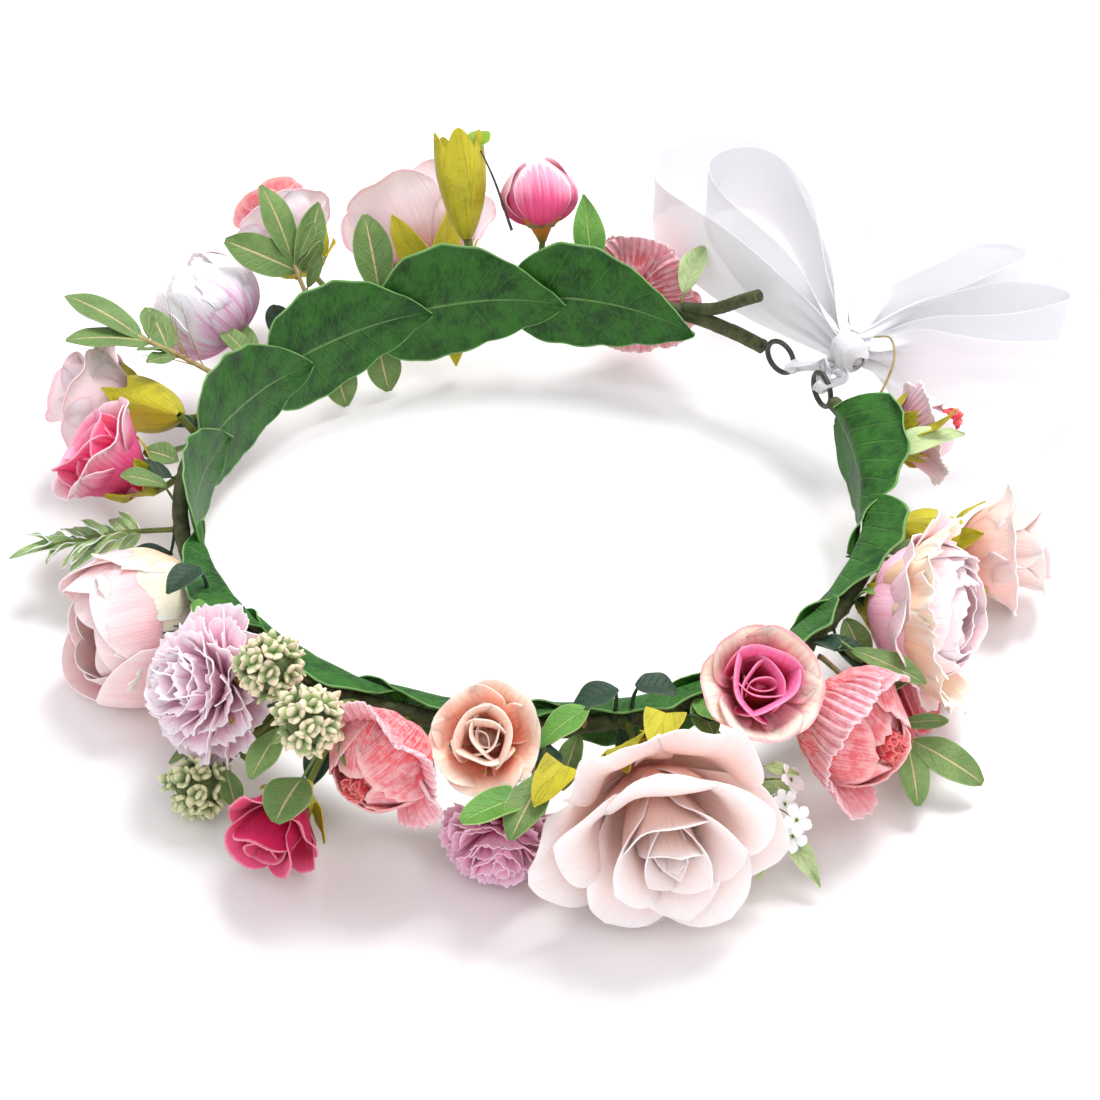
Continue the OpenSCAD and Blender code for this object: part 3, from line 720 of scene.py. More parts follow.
def rose(rng, r, d, inner=0, outer=0, open_=1.0, lip=50.0):
    """A rose: a wound heart, petals that stand round it, and petals that fall open."""
    p, foot = Piece(), -d / 2
    heart(p, r, d, inner)
    ring(p, rng, 2, 0, inner, length=0.86 * d, half=0.34 * r, base=(0.04 * r, foot), lean=(3, -3),
         lip=14, cup=0.16 * r, tip=0.18, wobble=0.1)
    ring(p, rng, 3, 40, inner, length=0.93 * d, half=0.46 * r, base=(0.08 * r, foot), lean=(8, -2),
         lip=26, cup=0.27 * r, tip=0.22, wobble=0.2)
    ring(p, rng, 4, 10, inner, length=d, half=0.6 * r, base=(0.12 * r, foot), lean=(16, 0),
         lip=38, cup=0.42 * r, tip=0.25, wobble=0.35)
    ring(p, rng, 5, 50, inner, length=1.05 * d, half=0.7 * r, base=(0.15 * r, foot),
         lean=(30 * open_, 8 * open_), lip=lip, cup=0.6 * r, tip=0.28, wobble=0.35, roll=0.04 * r)
    ring(p, rng, 5, 0, outer, length=r * (0.7 + 0.5 * open_), half=0.8 * r,
         base=(0.2 * r, foot + 0.06 * d), lean=(58 * open_, 30 * open_), lip=lip * 1.1,
         cup=0.85 * r, tip=0.3, wobble=0.35 * 1.3, roll=0.07 * r, ruffle=0.03 * r)
    return p


def ball(rng, r, mat=0, layers=3, count=5, close=-42.0, span=2.05, thick=0.35, fray=0.0, point=0.0):
    """A globe of petals that hug each other. span is a petal's length over the globe's radius."""
    p = Piece()
    for k in range(layers):
        size = r * (0.7 + 0.3 * (k + 1) / layers)
        ring(p, rng, count, 31 * k, mat, thick=thick, jitter=7, length=size * (span - 0.12 * k),
             half=size * 0.82, base=(0.1 * r, -size * 0.86), lean=(84, close + 10 * k),
             lip_at=0.86, cup=size * 0.96, tip=0.22, wobble=0.03 * r, fray=fray, narrow=0.3,
             point=point)
    return p


def loose_rose(rng, r, d, inner=0, outer=1, open_=1.0, outer_count=4, start=0.0, hollow=1.0):
    """A rose with a hollow heart: a few broad petals round a cup, and wide ones behind."""
    p, foot, w = Piece(), -d / 2, hollow * r
    heart(p, r, d, inner)
    ring(p, rng, 2, start + 70, inner, length=0.8 * d, half=0.4 * w, base=(0.06 * w, foot),
         lean=(6 * hollow ** 4, -6), lip=14, cup=0.22 * w, tip=0.2, wobble=0.3)
    ring(p, rng, 3, start, inner, length=0.95 * d, half=0.58 * w, base=(0.1 * w, foot),
         lean=(20 * hollow ** 2, -4), lip=30, cup=0.44 * w, tip=0.24, wobble=0.5, roll=0.06 * r)
    ring(p, rng, 3, start + 50, inner, length=1.02 * d, half=0.76 * w, base=(0.14 * w, foot),
         lean=(34 * open_ * hollow, 2), lip=44, cup=0.6 * w, tip=0.27, wobble=0.7, roll=0.1 * r)
    ring(p, rng, outer_count, start + 20, outer, length=1.04 * r * (0.6 + 0.5 * open_),
         half=0.86 * r, base=(0.2 * r, foot + 0.06 * d), lean=(60 * open_, 30 * open_), lip=56,
         cup=0.8 * r, tip=0.3, wobble=0.8, roll=0.12 * r, ruffle=0.04 * r)
    return p


def carnation(rng, r, d, mat=0, thick=0.25):
    """Rings of broad frilled petals with toothed rims, from upright to flat."""
    p = Piece()
    heart(p, r, d, mat)
    for k in range(6):
        lean = 2 + 16 * k
        ring(p, rng, 4 + k, 31 * k, mat, thick=thick, jitter=10, length=r * (1.2 - 0.02 * k),
             half=0.56 * r, base=(0.04 * r + 0.015 * k * r, -0.36 * d), lean=(lean, lean + 5),
             lip=14, lip_at=0.74, cup=0.56 * r, tip=0.2, ruffle=0.055 * r, waves=2.0,
             ribs=0.014 * r, rib_count=6, fray=0.04, wobble=0.5, narrow=0.25, widest=0.88, cols=29)
    return p


def ranunculus(rng, r, d, fans, fan_lean=(48, 62), size=0.92):
    """A velvet globe round a crumpled deep heart, with wide ribbed petals standing out behind."""
    p = Piece()
    velvet, deep, ribbed = 0, 1, 2  # the places of its cloths in the list of materials
    heart(p, r, d, deep)
    for k in range(3):
        ring(p, rng, 4 + k, 40 * k, deep, thick=0.3, jitter=12, length=(0.86 + 0.04 * k) * r,
             half=(0.17 + 0.07 * k) * r, base=(0.05 * r * (k + 1), -0.16 * r), lean=(10 + 4 * k, -12),
             lip=16, cup=(0.12 + 0.08 * k) * r, tip=0.15, ruffle=0.06 * r, waves=3, wobble=0.5,
             fray=0.04)
    for k in range(3):
        globe = r * size * (0.86 + 0.07 * k)
        ring(p, rng, 3 + (k == 0), 27 + 50 * k, velvet, thick=0.5, jitter=12,
             length=globe * (2.5 - 0.18 * k), half=globe * 0.92, base=(0.12 * r, -globe * 0.86),
             lean=(84, -66 + 14 * k), lip=3, lip_at=0.85, cup=globe * 0.94, tip=0.2,
             wobble=0.045 * r, ribs=0.012 * r, rib_count=9, fray=0.02, narrow=0.3)
    for azimuth, length in fans:
        ring(p, rng, 1, azimuth, ribbed, thick=0.45, jitter=6, length=length * r, half=0.8 * r,
             base=(0.25 * r, -0.7 * r), lean=fan_lean, lip=14, cup=1.1 * r, tip=0.26,
             ribs=0.04 * r, rib_count=11, wobble=0.06 * r, fray=0.02, narrow=0.25, widest=0.85, cols=41)
    return p


def hero_rose(rng, r, d):
    """The large blush rose: long silk petals that fall open in folds from a loose pointed heart."""
    p, foot = Piece(), -d / 2
    heart(p, r, d)
    ring(p, rng, 2, 200, 0, length=1.04 * d, half=0.3 * r, base=(0.03 * r, foot), lean=(3, -3),
         lip=8, cup=0.15 * r, tip=0.2, point=0.1, wobble=0.2)
    ring(p, rng, 3, 60, 0, length=1.1 * d, half=0.44 * r, base=(0.05 * r, foot), lean=(12, 2),
         lip=22, cup=0.28 * r, tip=0.22, point=0.06, wobble=0.5, roll=0.04 * r)
    ring(p, rng, 4, 15, 0, length=1.12 * d, half=0.54 * r, base=(0.08 * r, foot), lean=(22, 10),
         lip=40, lip_at=0.66, cup=0.42 * r, tip=0.24, point=0.05, wobble=0.9, roll=0.1 * r)
    ring(p, rng, 5, 40, 0, length=1.14 * d, half=0.62 * r, base=(0.1 * r, foot), lean=(36, 20),
         lip=52, lip_at=0.64, cup=0.56 * r, tip=0.26, point=0.04, wobble=1.2, roll=0.15 * r)
    ring(p, rng, 5, 0, 0, length=1.36 * r, half=0.62 * r, base=(0.14 * r, foot + 2), lean=(54, 38),
         lip=44, lip_at=0.62, cup=0.72 * r, tip=0.28, point=0.05, wobble=1.5, roll=0.18 * r,
         ruffle=0.04 * r, rows=26, cols=23)
    return p


def make_flower(name, seed):
    f = FLOWERS[name]
    r, d = f[3], f[4]
    rng = np.random.default_rng(seed)
    turn, tilt = 0.0, 0.0
    velvet = ("coral", "coral_deep", "ribbed")
    if name == "ribbed_coral_rose":
        # the petals under the ribbon are shorter, so that its loop clears them as it swings
        p = ranunculus(rng, r, d, fans=[(a, 0.9 if 90 < a < 270 else 1.12) for a in range(0, 360, 60)],
                       fan_lean=(62, 78), size=0.66)
        mats = velvet
        tilt = -24.0
    elif name == "pink_rosebud":
        p, mats = ball(rng, 1.12 * r, mat=1, layers=3, count=3, close=-62, span=2.5, point=0.06), \
            ("hot", "hot_outer")
        heart(p, r, d)
    elif name == "pale_rose_back":
        p, mats = rose(rng, r, d, open_=1.0, lip=46), ("faint",)
    elif name == "coral_rose_back":
        p, mats = rose(rng, r, d, inner=0, outer=1, open_=0.9), ("coral", "faint")
    elif name == "white_peony_bud":
        p, mats = ball(rng, 1.1 * r, layers=4, count=8, close=-64, span=2.45, fray=0.03), ("bud",)
    elif name == "pale_rose_side":
        p, mats = rose(rng, r, d, open_=1.0), ("faint",)
    elif name == "hot_pink_rose":
        p, mats = loose_rose(rng, 1.38 * r, d, open_=0.76, outer_count=4, start=30), ("hot", "hot_outer")
    elif name == "blush_cup_rose":
        p = ball(rng, r, layers=3, count=4, close=-40, span=2.2, thick=0.4)
        heart(p, r, d)
        ring(p, rng, 3, 125, 1, spread=150, length=2.0 * r, half=0.62 * r, base=(0.12 * r, -1.02 * r),
             lean=(86, -20), lip=36, lip_at=0.8, cup=1.02 * r, tip=0.25, wobble=0.6, fray=0.03)
        ring(p, rng, 2, 85, 2, spread=240, length=1.7 * r, half=0.5 * r, base=(0.14 * r, -1.05 * r),
             lean=(86, -4), lip=24, lip_at=0.8, cup=1.04 * r, tip=0.3, point=0.08, wobble=0.6, fray=0.04)
        mats = ("pink_cup", "cream", "peach_frill")
    elif name == "lilac_carnation":
        p, mats = carnation(rng, r, d), ("lilac",)
    elif name == "crimson_rose":
        p, mats = loose_rose(rng, r, d, outer=0, open_=0.95, outer_count=4, start=10), ("crimson",)
    elif name == "coral_rosebud":
        p, mats = ranunculus(rng, r, d, fans=((182, 1.55), (62, 1.45), (112, 1.3), (285, 1.1)),
                             size=1.06), velvet
        turn, tilt = -16.0, -16.0
    elif name == "peach_rose":
        p, mats = loose_rose(rng, 1.25 * r, d, outer=0, open_=0.95, outer_count=5, start=60), ("peach",)
    elif name == "small_carnation":
        p, mats = carnation(rng, r, d), ("lilac_dark",)
    elif name == "large_blush_rose":
        p, mats, turn, tilt = hero_rose(rng, r, d), ("pale",), -6.0, 16.0
    elif name == "two_tone_rose":
        p, mats = loose_rose(rng, 1.14 * r, d, open_=0.95, outer_count=5, start=100, hollow=1.16), \
            ("twotone_in", "twotone_out")
    elif name == "coral_velvet_rose":
        p, mats = ranunculus(rng, 0.97 * r, d, fans=((212, 1.75), (322, 1.7), (268, 1.5), (165, 1.5)),
                             fan_lean=(74, 14), size=1.0), velvet
        turn, tilt = 4.0, -8.0
    elif name == "pink_peony":
        p = ball(rng, 0.86 * r, layers=4, count=5, close=-44, span=2.15, fray=0.015)
        heart(p, r, d)
        ring(p, rng, 6, 20, 0, length=1.15 * r, half=0.6 * r, base=(0.2 * r, -0.62 * r),
             lean=(66, 50), lip=26, cup=0.9 * r, tip=0.25, wobble=0.8, ruffle=0.8, fray=0.03)
        ring(p, rng, 4, -55, 1, spread=150, length=1.32 * r, half=0.5 * r, base=(0.22 * r, -0.64 * r),
             lean=(74, 64), lip=20, cup=1.0 * r, tip=0.3, wobble=0.8, ruffle=0.6)
        ring(p, rng, 6, 165, 2, spread=190, length=1.42 * r, half=0.5 * r, base=(0.2 * r, -0.66 * r),
             lean=(66, 26), lip=34, cup=0.8 * r, tip=0.25, wobble=1.2, ruffle=1.4, fray=0.05)
        mats = ("peony", "coral_tip", "peach_frill")
    elif name == "pale_peach_peony":
        p, mats = rose(rng, r, d, open_=1.0, lip=44), ("pale",)
    else:
        # the petals on the ribbon's side are shorter, so that its tail clears them as it swings
        p = ranunculus(rng, 0.8 * r, d, fans=[(a, 1.0 if a < 180 else 1.24) for a in range(20, 380, 60)],
                       fan_lean=(50, 60), size=0.8)
        mats = ("peony", "coral_deep", "peony")
    p.moved(on_hoop(*f[:3]), flower_axes(f, turn, tilt))
    obj = p.build(name + "_silk", [PETALS[m] for m in mats])
    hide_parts(name)
    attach(obj, "hoop_left" if f[0] < FLEX_ANGLE and f[0] > LEFT_END else "hoop_right")
    return obj


for i, flower_name in enumerate(FLOWERS):
    make_flower(flower_name, 100 + i)


# ---------------------------------------------------------------- leaves and sprigs

OUTLINES = {
    "pointed": lambda t: np.sin(math.pi * t ** 0.8) ** 0.9,
    "oval": lambda t: np.sin(math.pi * t ** 1.05) ** 0.6,
    "spoon": lambda t: np.sin(math.pi * t ** 1.6) ** 0.8,
    "sepal": lambda t: (1 - t ** 2.2) ** 0.9,
}


def sprout(place, yaw, tilt):
    """Where a leaf starts, and axes whose X points along it and Z out of its face."""
    return on_hoop(*place), turn_z(place[0] + yaw) @ turn_y(-tilt)


def blade(p, rng, origin, axes, length, width, kind="pointed", fold=0.22, curl=-25.0, wave=0.35,
          mat=0, thick=0.35, twist=10.0, roll=0.0):
    """One leaf from origin along axes' X. It folds up along its midrib and bends by curl degrees."""
    rows, cols = 22, 11
    t = np.linspace(0, 1, rows)[:, None] * np.ones((1, cols))
    s = np.linspace(-1, 1, cols)[None, :] * np.ones((rows, 1))
    half = width / 2 * OUTLINES[kind](np.clip(t, 0.012, 0.985))
    half = half / OUTLINES[kind](np.linspace(0.02, 0.98, 60)).max()
    bend = np.radians(curl * rng.uniform(0.7, 1.3)) * t[:, 0]
    step = length / (rows - 1)
    x = np.concatenate([[0], np.cumsum(np.cos(bend[:-1]))])[:, None] * step
    z = np.concatenate([[0], np.cumsum(np.sin(bend[:-1]))])[:, None] * step
    phase = rng.uniform(0, 6.28, 2)
    lift = fold * np.abs(s) * half + wave * np.sin(9 * t + 2 * s + phase[0]) * s ** 2
    lift = lift + 0.25 * wave * np.sin(15 * t + phase[1]) * np.abs(s)
    turn = np.radians(roll + twist * rng.uniform(-1, 1) * t)
    y, lift = s * half * np.cos(turn) - lift * np.sin(turn), s * half * np.sin(turn) + lift * np.cos(turn)
    phi = bend[:, None]
    local = np.stack([x - lift * np.sin(phi), y, z + lift * np.cos(phi)], -1)
    tone = np.stack([s, t, np.full_like(t, rng.uniform())], -1)
    p.add_sheet(origin + local @ axes.T, thick, tone, mat)


def twig(p, points, radius=0.6, mat=1, sides=7, taper=0.5):
    path = bezier(points, 8)
    p.add_tube(path, radius * np.linspace(1, taper, len(path)), sides, mat=mat)


# Each fixed leaf: angle, reach, height, turn, tilt, length, width, outline, cloth (index), curl
FIXED_LEAVES = {
    "leaves_left": [
        (132, 3, 38, 20, 55, 22, 10, "pointed", 0, -20), (115, 3, 35, 0, 52, 16, 8, "oval", 1, -30),
        (170, 3, 34, -8, 62, 24, 12, "oval", 2, -15), (242, 3, 19, 3, 6, 16, 8, "pointed", 3, -20),
        (179.5, 4.5, 17.5, 180, -70, 17, 11, "oval", 2, 10),
        (170.5, 4.5, 17.5, 180, -70, 17, 11, "oval", 2, 14),
    ],
    "leaves_front": [
        (264, 3.5, 44, 25, 20, 13, 8, "pointed", 3, -30), (291, 20, 31.5, 8, 0, 16, 8, "oval", 2, -20),
        (298, 33.5, 33.5, 0, 5, 14, 12, "oval", 2, -25), (323.5, 25, 32, -60, 10, 20, 10, "oval", 0, -20),
        (325, 22, 36, -28, -8, 20, 10, "oval", 2, -16), (331, 9, 44, -66, -6, 16, 8, "pointed", 0, -30),
    ],
    "leaves_right": [
        (335.5, 5, 45, -85, 0, 12, 9, "oval", 3, -34), (338, 5, 45, 85, 0, 11, 9, "oval", 3, -30),
        (57, 3.5, 36, 0, 30, 22, 10, "pointed", 1, -24), (13, 12, 32, 0, 10, 22, 8, "oval", 2, -20),
    ],
}


# Small leaves that fill in round the tape: angle, reach, height, turn, tilt, length, width, cloth
FILLERS = {
    "leaves_left": [(231, 3.4, 31, -14, 14, 14, 7, 3), (236.5, 3.4, 35, 4, 34, 13, 7, 2),
                    (196, 3.4, 32, -12, 18, 17, 8, 2), (198.5, 3.4, 34, -14, 22, 13, 7, 2),
                    (216, 3.4, 30, 14, 8, 14, 7, 3)],
    "leaves_front": [(258, 3.4, 34, -20, 34, 10, 6, 0), (268, 3.6, 36, 30, 44, 11, 6, 0),
                     (286, 3.4, 24, -10, -14, 20, 8, 2), (293, 3.4, 24, 12, -16, 18, 8, 3),
                     (311, 3.4, 32, 10, 24, 13, 7, 3), (347.5, 3.4, 33, 20, 18, 13, 7, 0)],
    "leaves_right": [(11, 3.4, 33, -30, 36, 13, 7, 3), (23.5, 3.4, 33, -20, 50, 12, 6, 0),
                     (36, 3.4, 31, 8, 12, 17, 8, 2), (17, 3.4, 23, 12, -22, 22, 8, 3)],
}


# Where short dark leaves stand close together on the tape: from, to, step
TUFTED = {"leaves_left": (190, 232, 6), "leaves_front": (255, 352, 4.5), "leaves_right": (-1, 44, 6.5)}


def make_fixed_leaves():
    rng = np.random.default_rng(301)
    for node, leaves in FIXED_LEAVES.items():
        p = Piece()
        for a, reach, z, yaw, tilt, length, width, kind, mat, curl in leaves:
            origin, axes = sprout((a, reach, z), yaw, tilt)
            blade(p, rng, origin, axes, length, width, kind, mat=mat, curl=curl)
            wire = on_hoop(a, TAPE_R - 0.6, HOOP_Z + np.clip(z - HOOP_Z, -1.2, 1.2))
            middle = (wire + origin) / 2 + 0.12 * np.linalg.norm(origin - wire) * axes[:, 2]
            twig(p, [wire, middle, origin + 0.6 * axes[:, 0]], 0.7, mat=mat if mat in (2, 3) else 4)
        if node == "leaves_left":
            # a yellow-green sepal that hangs below the lining
            blade(p, rng, *sprout((156.6, 3.2, 22), 180, -84), 18, 9, "sepal", mat=5, curl=12)
        if node == "leaves_right":
            # the curled yellow strip and the thin green loop beside the ribbon
            blade(p, rng, *sprout((60, 10, 37), -30, 24), 19, 5, "sepal", mat=5, curl=60, fold=0.5)
            twig(p, [on_hoop(69, 2, 32), on_hoop(70, 8, 40), on_hoop(73, 14, 46), on_hoop(75.5, 15, 50),
                     on_hoop(77.5, 12, 49)], 0.5, mat=4)
        if node == "leaves_front":
            for a, reach, z, yaw, tilt, length in ((327, 24, 40, -40, -4, 13), (340, 17, 46, -30, 12, 14)):
                blade(p, rng, *sprout((a, reach, z), yaw, tilt), length, 10, "sepal", mat=5, curl=-30)
        for a in np.arange(*TUFTED[node]):
            # the ones beside the root of the side sprig are short and low, so that it bends clear of them
            beside = node == "leaves_left" and abs(a - 207) < 8
            share, drop = (0.45, 5.5) if beside else (1.0, 0.0)
            origin, axes = sprout((a + rng.uniform(-1.5, 1.5), 2.6, HOOP_Z - drop + rng.uniform(-4, 4)),
                                  rng.uniform(-38, 38), rng.uniform(-34, 34))
            blade(p, rng, origin, axes, share * rng.uniform(10, 17), share * rng.uniform(6, 8.5), "oval",
                  mat=rng.choice([2, 3, 3]), curl=-24, roll=rng.uniform(-30, 30))
        for a, reach, z, yaw, tilt, length, width, mat in FILLERS[node]:
            origin, axes = sprout((a, reach, z), yaw, tilt)
            blade(p, rng, origin, axes, length, width, "oval", mat=mat, curl=-24)
            twig(p, [on_hoop(a, TAPE_R - 0.6), origin + 0.6 * axes[:, 0]], 0.5, mat=mat)
        obj = p.build(node + "_cloth", [FRESH, VARIEGATED, OLIVE, DARK, TWIG, CALYX])
        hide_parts(node)
        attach(obj, "hoop_left" if node == "leaves_left" else "hoop_right")


make_fixed_leaves()

# Each bendable sprig: root, turn, tilt, stem length, then leaves as distance, turn, length, width
SPRIGS = {
    "olive_sprig_side": ((207, 3.5, 36), 5, 17, 26,
                         [(25, -4, 26, 11), (22, 36, 24, 10), (16, -42, 20, 9)]),
    "olive_sprig_back": ((183, 3.5, 36), 2, 56, 17,
                         [(16, 0, 24, 9), (13, 48, 24, 10), (13, -48, 22, 9)]),
    "frosted_sprig": ((238, 3.5, 22), 0, -6, 26,
                      [(25, 0, 20, 6), (16, 38, 16, 6), (8, -40, 10, 5)]),
    "olive_sprig_right": ((14, 3.5, 22), -5, -18, 31, [(30, 14, 21, 9), (28, -42, 20, 8)]),
    "gypsophila_sprig": ((351, 3.5, 22), 2, -17, 30,
                         [(29, 8, 20, 6), (26, -36, 18, 6), (16, 30, 12, 5)]),
}


def stem_wire(p, rng, stem, sag, mat=1, radius=0.85):
    """The sprig's wire, with a slight bow, from the tape's surface out along X."""
    twig(p, [(-2.4, 0, -0.6), (0, 0, 0), (stem * 0.45, rng.uniform(-0.6, 0.6), sag),
             (stem, 0, 0)], radius, mat=mat, taper=0.75)


def tufts(p, rng, start, count, reach, mat):
    """Thin pale filaments that curl away from the sprig."""
    for _ in range(count):
        way = unit([1, rng.uniform(-1.1, 1.1), rng.uniform(-0.2, 1.0)])
        bend = unit(rng.normal(size=3)) * reach * 0.3
        root = np.array([rng.uniform(start, start + 10), 0, 0])
        twig(p, [root, root + way * reach * 0.5 + bend * 0.3, root + way * reach + bend], 0.22,
             mat=mat, sides=5, taper=0.3)


def olive(p, rng, stem, leaves, extra):
    stem_wire(p, rng, stem, 1.0)
    for at, turn, length, width in leaves:
        root = np.array([at, 0, 0.0])
        axes = turn_z(turn + rng.uniform(-4, 4)) @ turn_y(-rng.uniform(2, 12))
        twig(p, [root - [2, 0, 0], root + axes[:, 0] * 1.2], 0.55)
        blade(p, rng, root, axes, length, width * 1.15, "oval", fold=0.1, curl=-22,
              roll=rng.uniform(-12, 12))
    for _ in range(extra):
        root = np.array([rng.uniform(0.3, 0.9) * stem, 0, 0.0])
        axes = turn_z(rng.choice([-1, 1]) * rng.uniform(35, 70)) @ turn_y(-rng.uniform(10, 50))
        twig(p, [root, root + axes[:, 0] * 2.5], 0.4)
        blade(p, rng, root + axes[:, 0] * 2, axes, rng.uniform(9, 13), rng.uniform(4, 5.5), "oval",
              curl=-25, roll=rng.uniform(-40, 40))


def frosted(p, rng, stem, leaves):
    """A frosted sprig: pairs of narrow white-edged leaves that close up towards the tip."""
    stem_wire(p, rng, stem + 8, 0.8)
    for at, turn, length, width in leaves:
        blade(p, rng, np.array([at, 0, 0.0]), turn_z(turn) @ turn_y(-6), length, width, "pointed", curl=-30)
    for k in range(9):
        at = 8 + 2.9 * k
        for side in (-1, 1):
            axes = turn_z(side * rng.uniform(28, 58)) @ turn_y(-rng.uniform(-20, 55))
            blade(p, rng, np.array([at, 0, 0.2]), axes, rng.uniform(8, 13), rng.uniform(2.6, 4.2),
                  "pointed", fold=0.4, curl=-30, roll=rng.uniform(-50, 50))


def gypsophila(p, rng, stem, leaves):
    """White star flowers on hair-thin stalks among long variegated leaves."""
    stem_wire(p, rng, stem, 0.8)
    for at, turn, length, width in leaves:
        blade(p, rng, np.array([at, 0, 0.0]), turn_z(turn) @ turn_y(-4), length, width, "pointed",
              fold=0.4, curl=-28)
    for k in range(9):
        root = np.array([rng.uniform(0.35, 1.0) * stem, 0, 0.0])
        way = turn_z(rng.uniform(-70, 60)) @ turn_y(-rng.uniform(-25, 50))
        tip = root + way[:, 0] * rng.uniform(7, 14)
        twig(p, [root, (root + tip) / 2 + [0, 0, 1.2], tip], 0.28, sides=5)
        if k % 3 == 0:
            blade(p, rng, tip, way, 9, 3.4, "pointed", fold=0.3, curl=-20, mat=0)
            continue
        face = unit(way[:, 0] + [0, 0, 0.9])
        side = unit(np.cross(face, [0, 1, 0.3]))
        for petal_at in range(5):
            angle = math.radians(72 * petal_at)
            out = math.cos(angle) * side + math.sin(angle) * np.cross(face, side)
            axes = np.stack([unit(out + 0.35 * face), np.cross(face, out), unit(face - 0.35 * out)], 1)
            blade(p, rng, tip, axes, 4.2, 3.0, "spoon", fold=0.1, curl=-20, wave=0.15, mat=2, thick=0.25)
        p.add_blob(tip - face * 1.4, np.stack([side, np.cross(face, side), face * 2.0]),
                   lambda t: 0.75 * np.sin(math.pi * np.clip(t, 0.05, 0.97)) ** 0.5, 6, 8, mat=1)


def make_sprigs():
    rng = np.random.default_rng(405)
    bodies = ("sprig_side", "sprig_back", "sprig_frosted", "sprig_right", "sprig_gypsophila")
    slots = ("leaf_olive", "leaf_olive", "leaf_frosted", "leaf_olive", "gypsophila")
    for (node, (root, yaw, tilt, stem, leaves)), body, slot in zip(SPRIGS.items(), bodies, slots):
        p = Piece()
        if node == "frosted_sprig":
            frosted(p, rng, stem, leaves)
            cloths = [FROSTED, STEM]
        elif node == "gypsophila_sprig":
            gypsophila(p, rng, stem, leaves)
            cloths = [VARIEGATED, STEM, GYPS]
        else:
            olive(p, rng, stem, leaves, 3 if node != "olive_sprig_right" else 2)
            if node == "olive_sprig_side":
                tufts(p, rng, 4, 7, 17, 1)
            cloths = [OLIVE, TWIG]
        p.moved(*sprout(root, yaw, tilt))
        obj = p.build(node + "_cloth", cloths)
        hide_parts(node)
        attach(obj, body)


make_sprigs()


# ---------------------------------------------------------------- calyxes and sedum

RUST = ("pink_rosebud",)
# Calyxes that swell into a large pod: where the pod starts and ends, and its radius
PODS = {"pale_rose_side": ((219, 5.5, 36), (213.5, 24, 29), 7.5),
        "pale_peach_peony": ((44.5, 5, 29), (47, 19, 22), 6.5)}
CALYX_L = 5.0


def span_axes(a, b):
    """Axes whose third row points from a to b."""
    way = unit(b - a)
    side = unit(np.cross(way, [0, 0, 1.0]))
    return np.stack([side, np.cross(way, side), way])


def pod(p, rng, a, b, radius, mat=0):
    """A bulb with five ribs and a ragged mouth of pointed sepals."""
    axes = span_axes(a, b)
    length = np.linalg.norm(b - a)
    rows, cols = 20, 41
    t = np.linspace(0, 1, rows)[:, None] * np.ones((1, cols))
    angle = np.linspace(-math.pi, math.pi, cols)[None, :] * np.ones((rows, 1))
    mouth = 1 + 0.22 * np.abs(np.sin(2.5 * angle + rng.uniform(0, 3))) - 0.1
    wide = radius * (0.14 + 0.86 * np.sin(np.clip(t, 0, 1) * 0.62 * math.pi) ** 0.8)
    wide = wide * (1 + 0.05 * np.cos(5 * angle) + 0.03 * np.sin(3 * angle + 5 * t))
    grid = (a + axes[2] * (t * length * (1 + (mouth - 1) * t ** 2))[..., None]
            + wide[..., None] * (np.cos(angle)[..., None] * axes[0] + np.sin(angle)[..., None] * axes[1]))
    tone = np.stack([0.9 * np.sin(2.5 * angle), t, np.full_like(t, rng.uniform())], -1)
    p.add_sheet(grid, 0.5, tone, mat)


def calyx(p, rng, name):
    f = FLOWERS[name]
    r, d = f[3], f[4]
    axes, centre = flower_axes(f), on_hoop(*f[:3])
    end = centre - axes[:, 2] * (d / 2 + CALYX_L)
    wire = on_hoop(f[0])
    start = wire + unit(end - wire) * (TAPE_R - 0.4)
    if name in PODS:
        a, b, radius = PODS[name]
        pod(p, rng, on_hoop(*a), on_hoop(*b), radius)
        twig(p, [on_hoop(a[0], 1.6, HOOP_Z + 1), on_hoop(*a)], 1.1, mat=1, taper=1.0)
    sag = unit(end - start) * 0.4 * np.linalg.norm(end - start)
    twig(p, [start, start + sag + [0, 0, -0.5], end, end + axes[:, 2]], 0.95, mat=1, taper=1.0)
    mat = 2 if name in RUST else 0
    p.add_blob(end - axes[:, 2] * 0.4, np.stack([axes[:, 0], axes[:, 1], axes[:, 2] * (CALYX_L + 2.4)]),
               lambda t: (1.2 + (0.36 * r - 1.2) * np.sin(t * math.pi * 0.5) ** 1.3)
               * (1 - 0.3 * smooth((t - 0.8) / 0.2)), 12, 20, mat=mat)
    for k in range(5):
        az = turn_z(72 * k + rng.uniform(-9, 9))
        lean = math.radians(58 + rng.uniform(-8, 8))
        local = np.array([[math.sin(lean), 0, -math.cos(lean)], [0, 1, 0],
                          [math.cos(lean), 0, math.sin(lean)]])
        root = az @ np.array([0.26 * r, 0, -d / 2 - 0.8])
        blade(p, rng, centre + axes @ root, axes @ az @ local, 0.62 * r + 2.5, 0.42 * r, "sepal",
              fold=-0.12, curl=34, wave=0.2, mat=mat, twist=16)


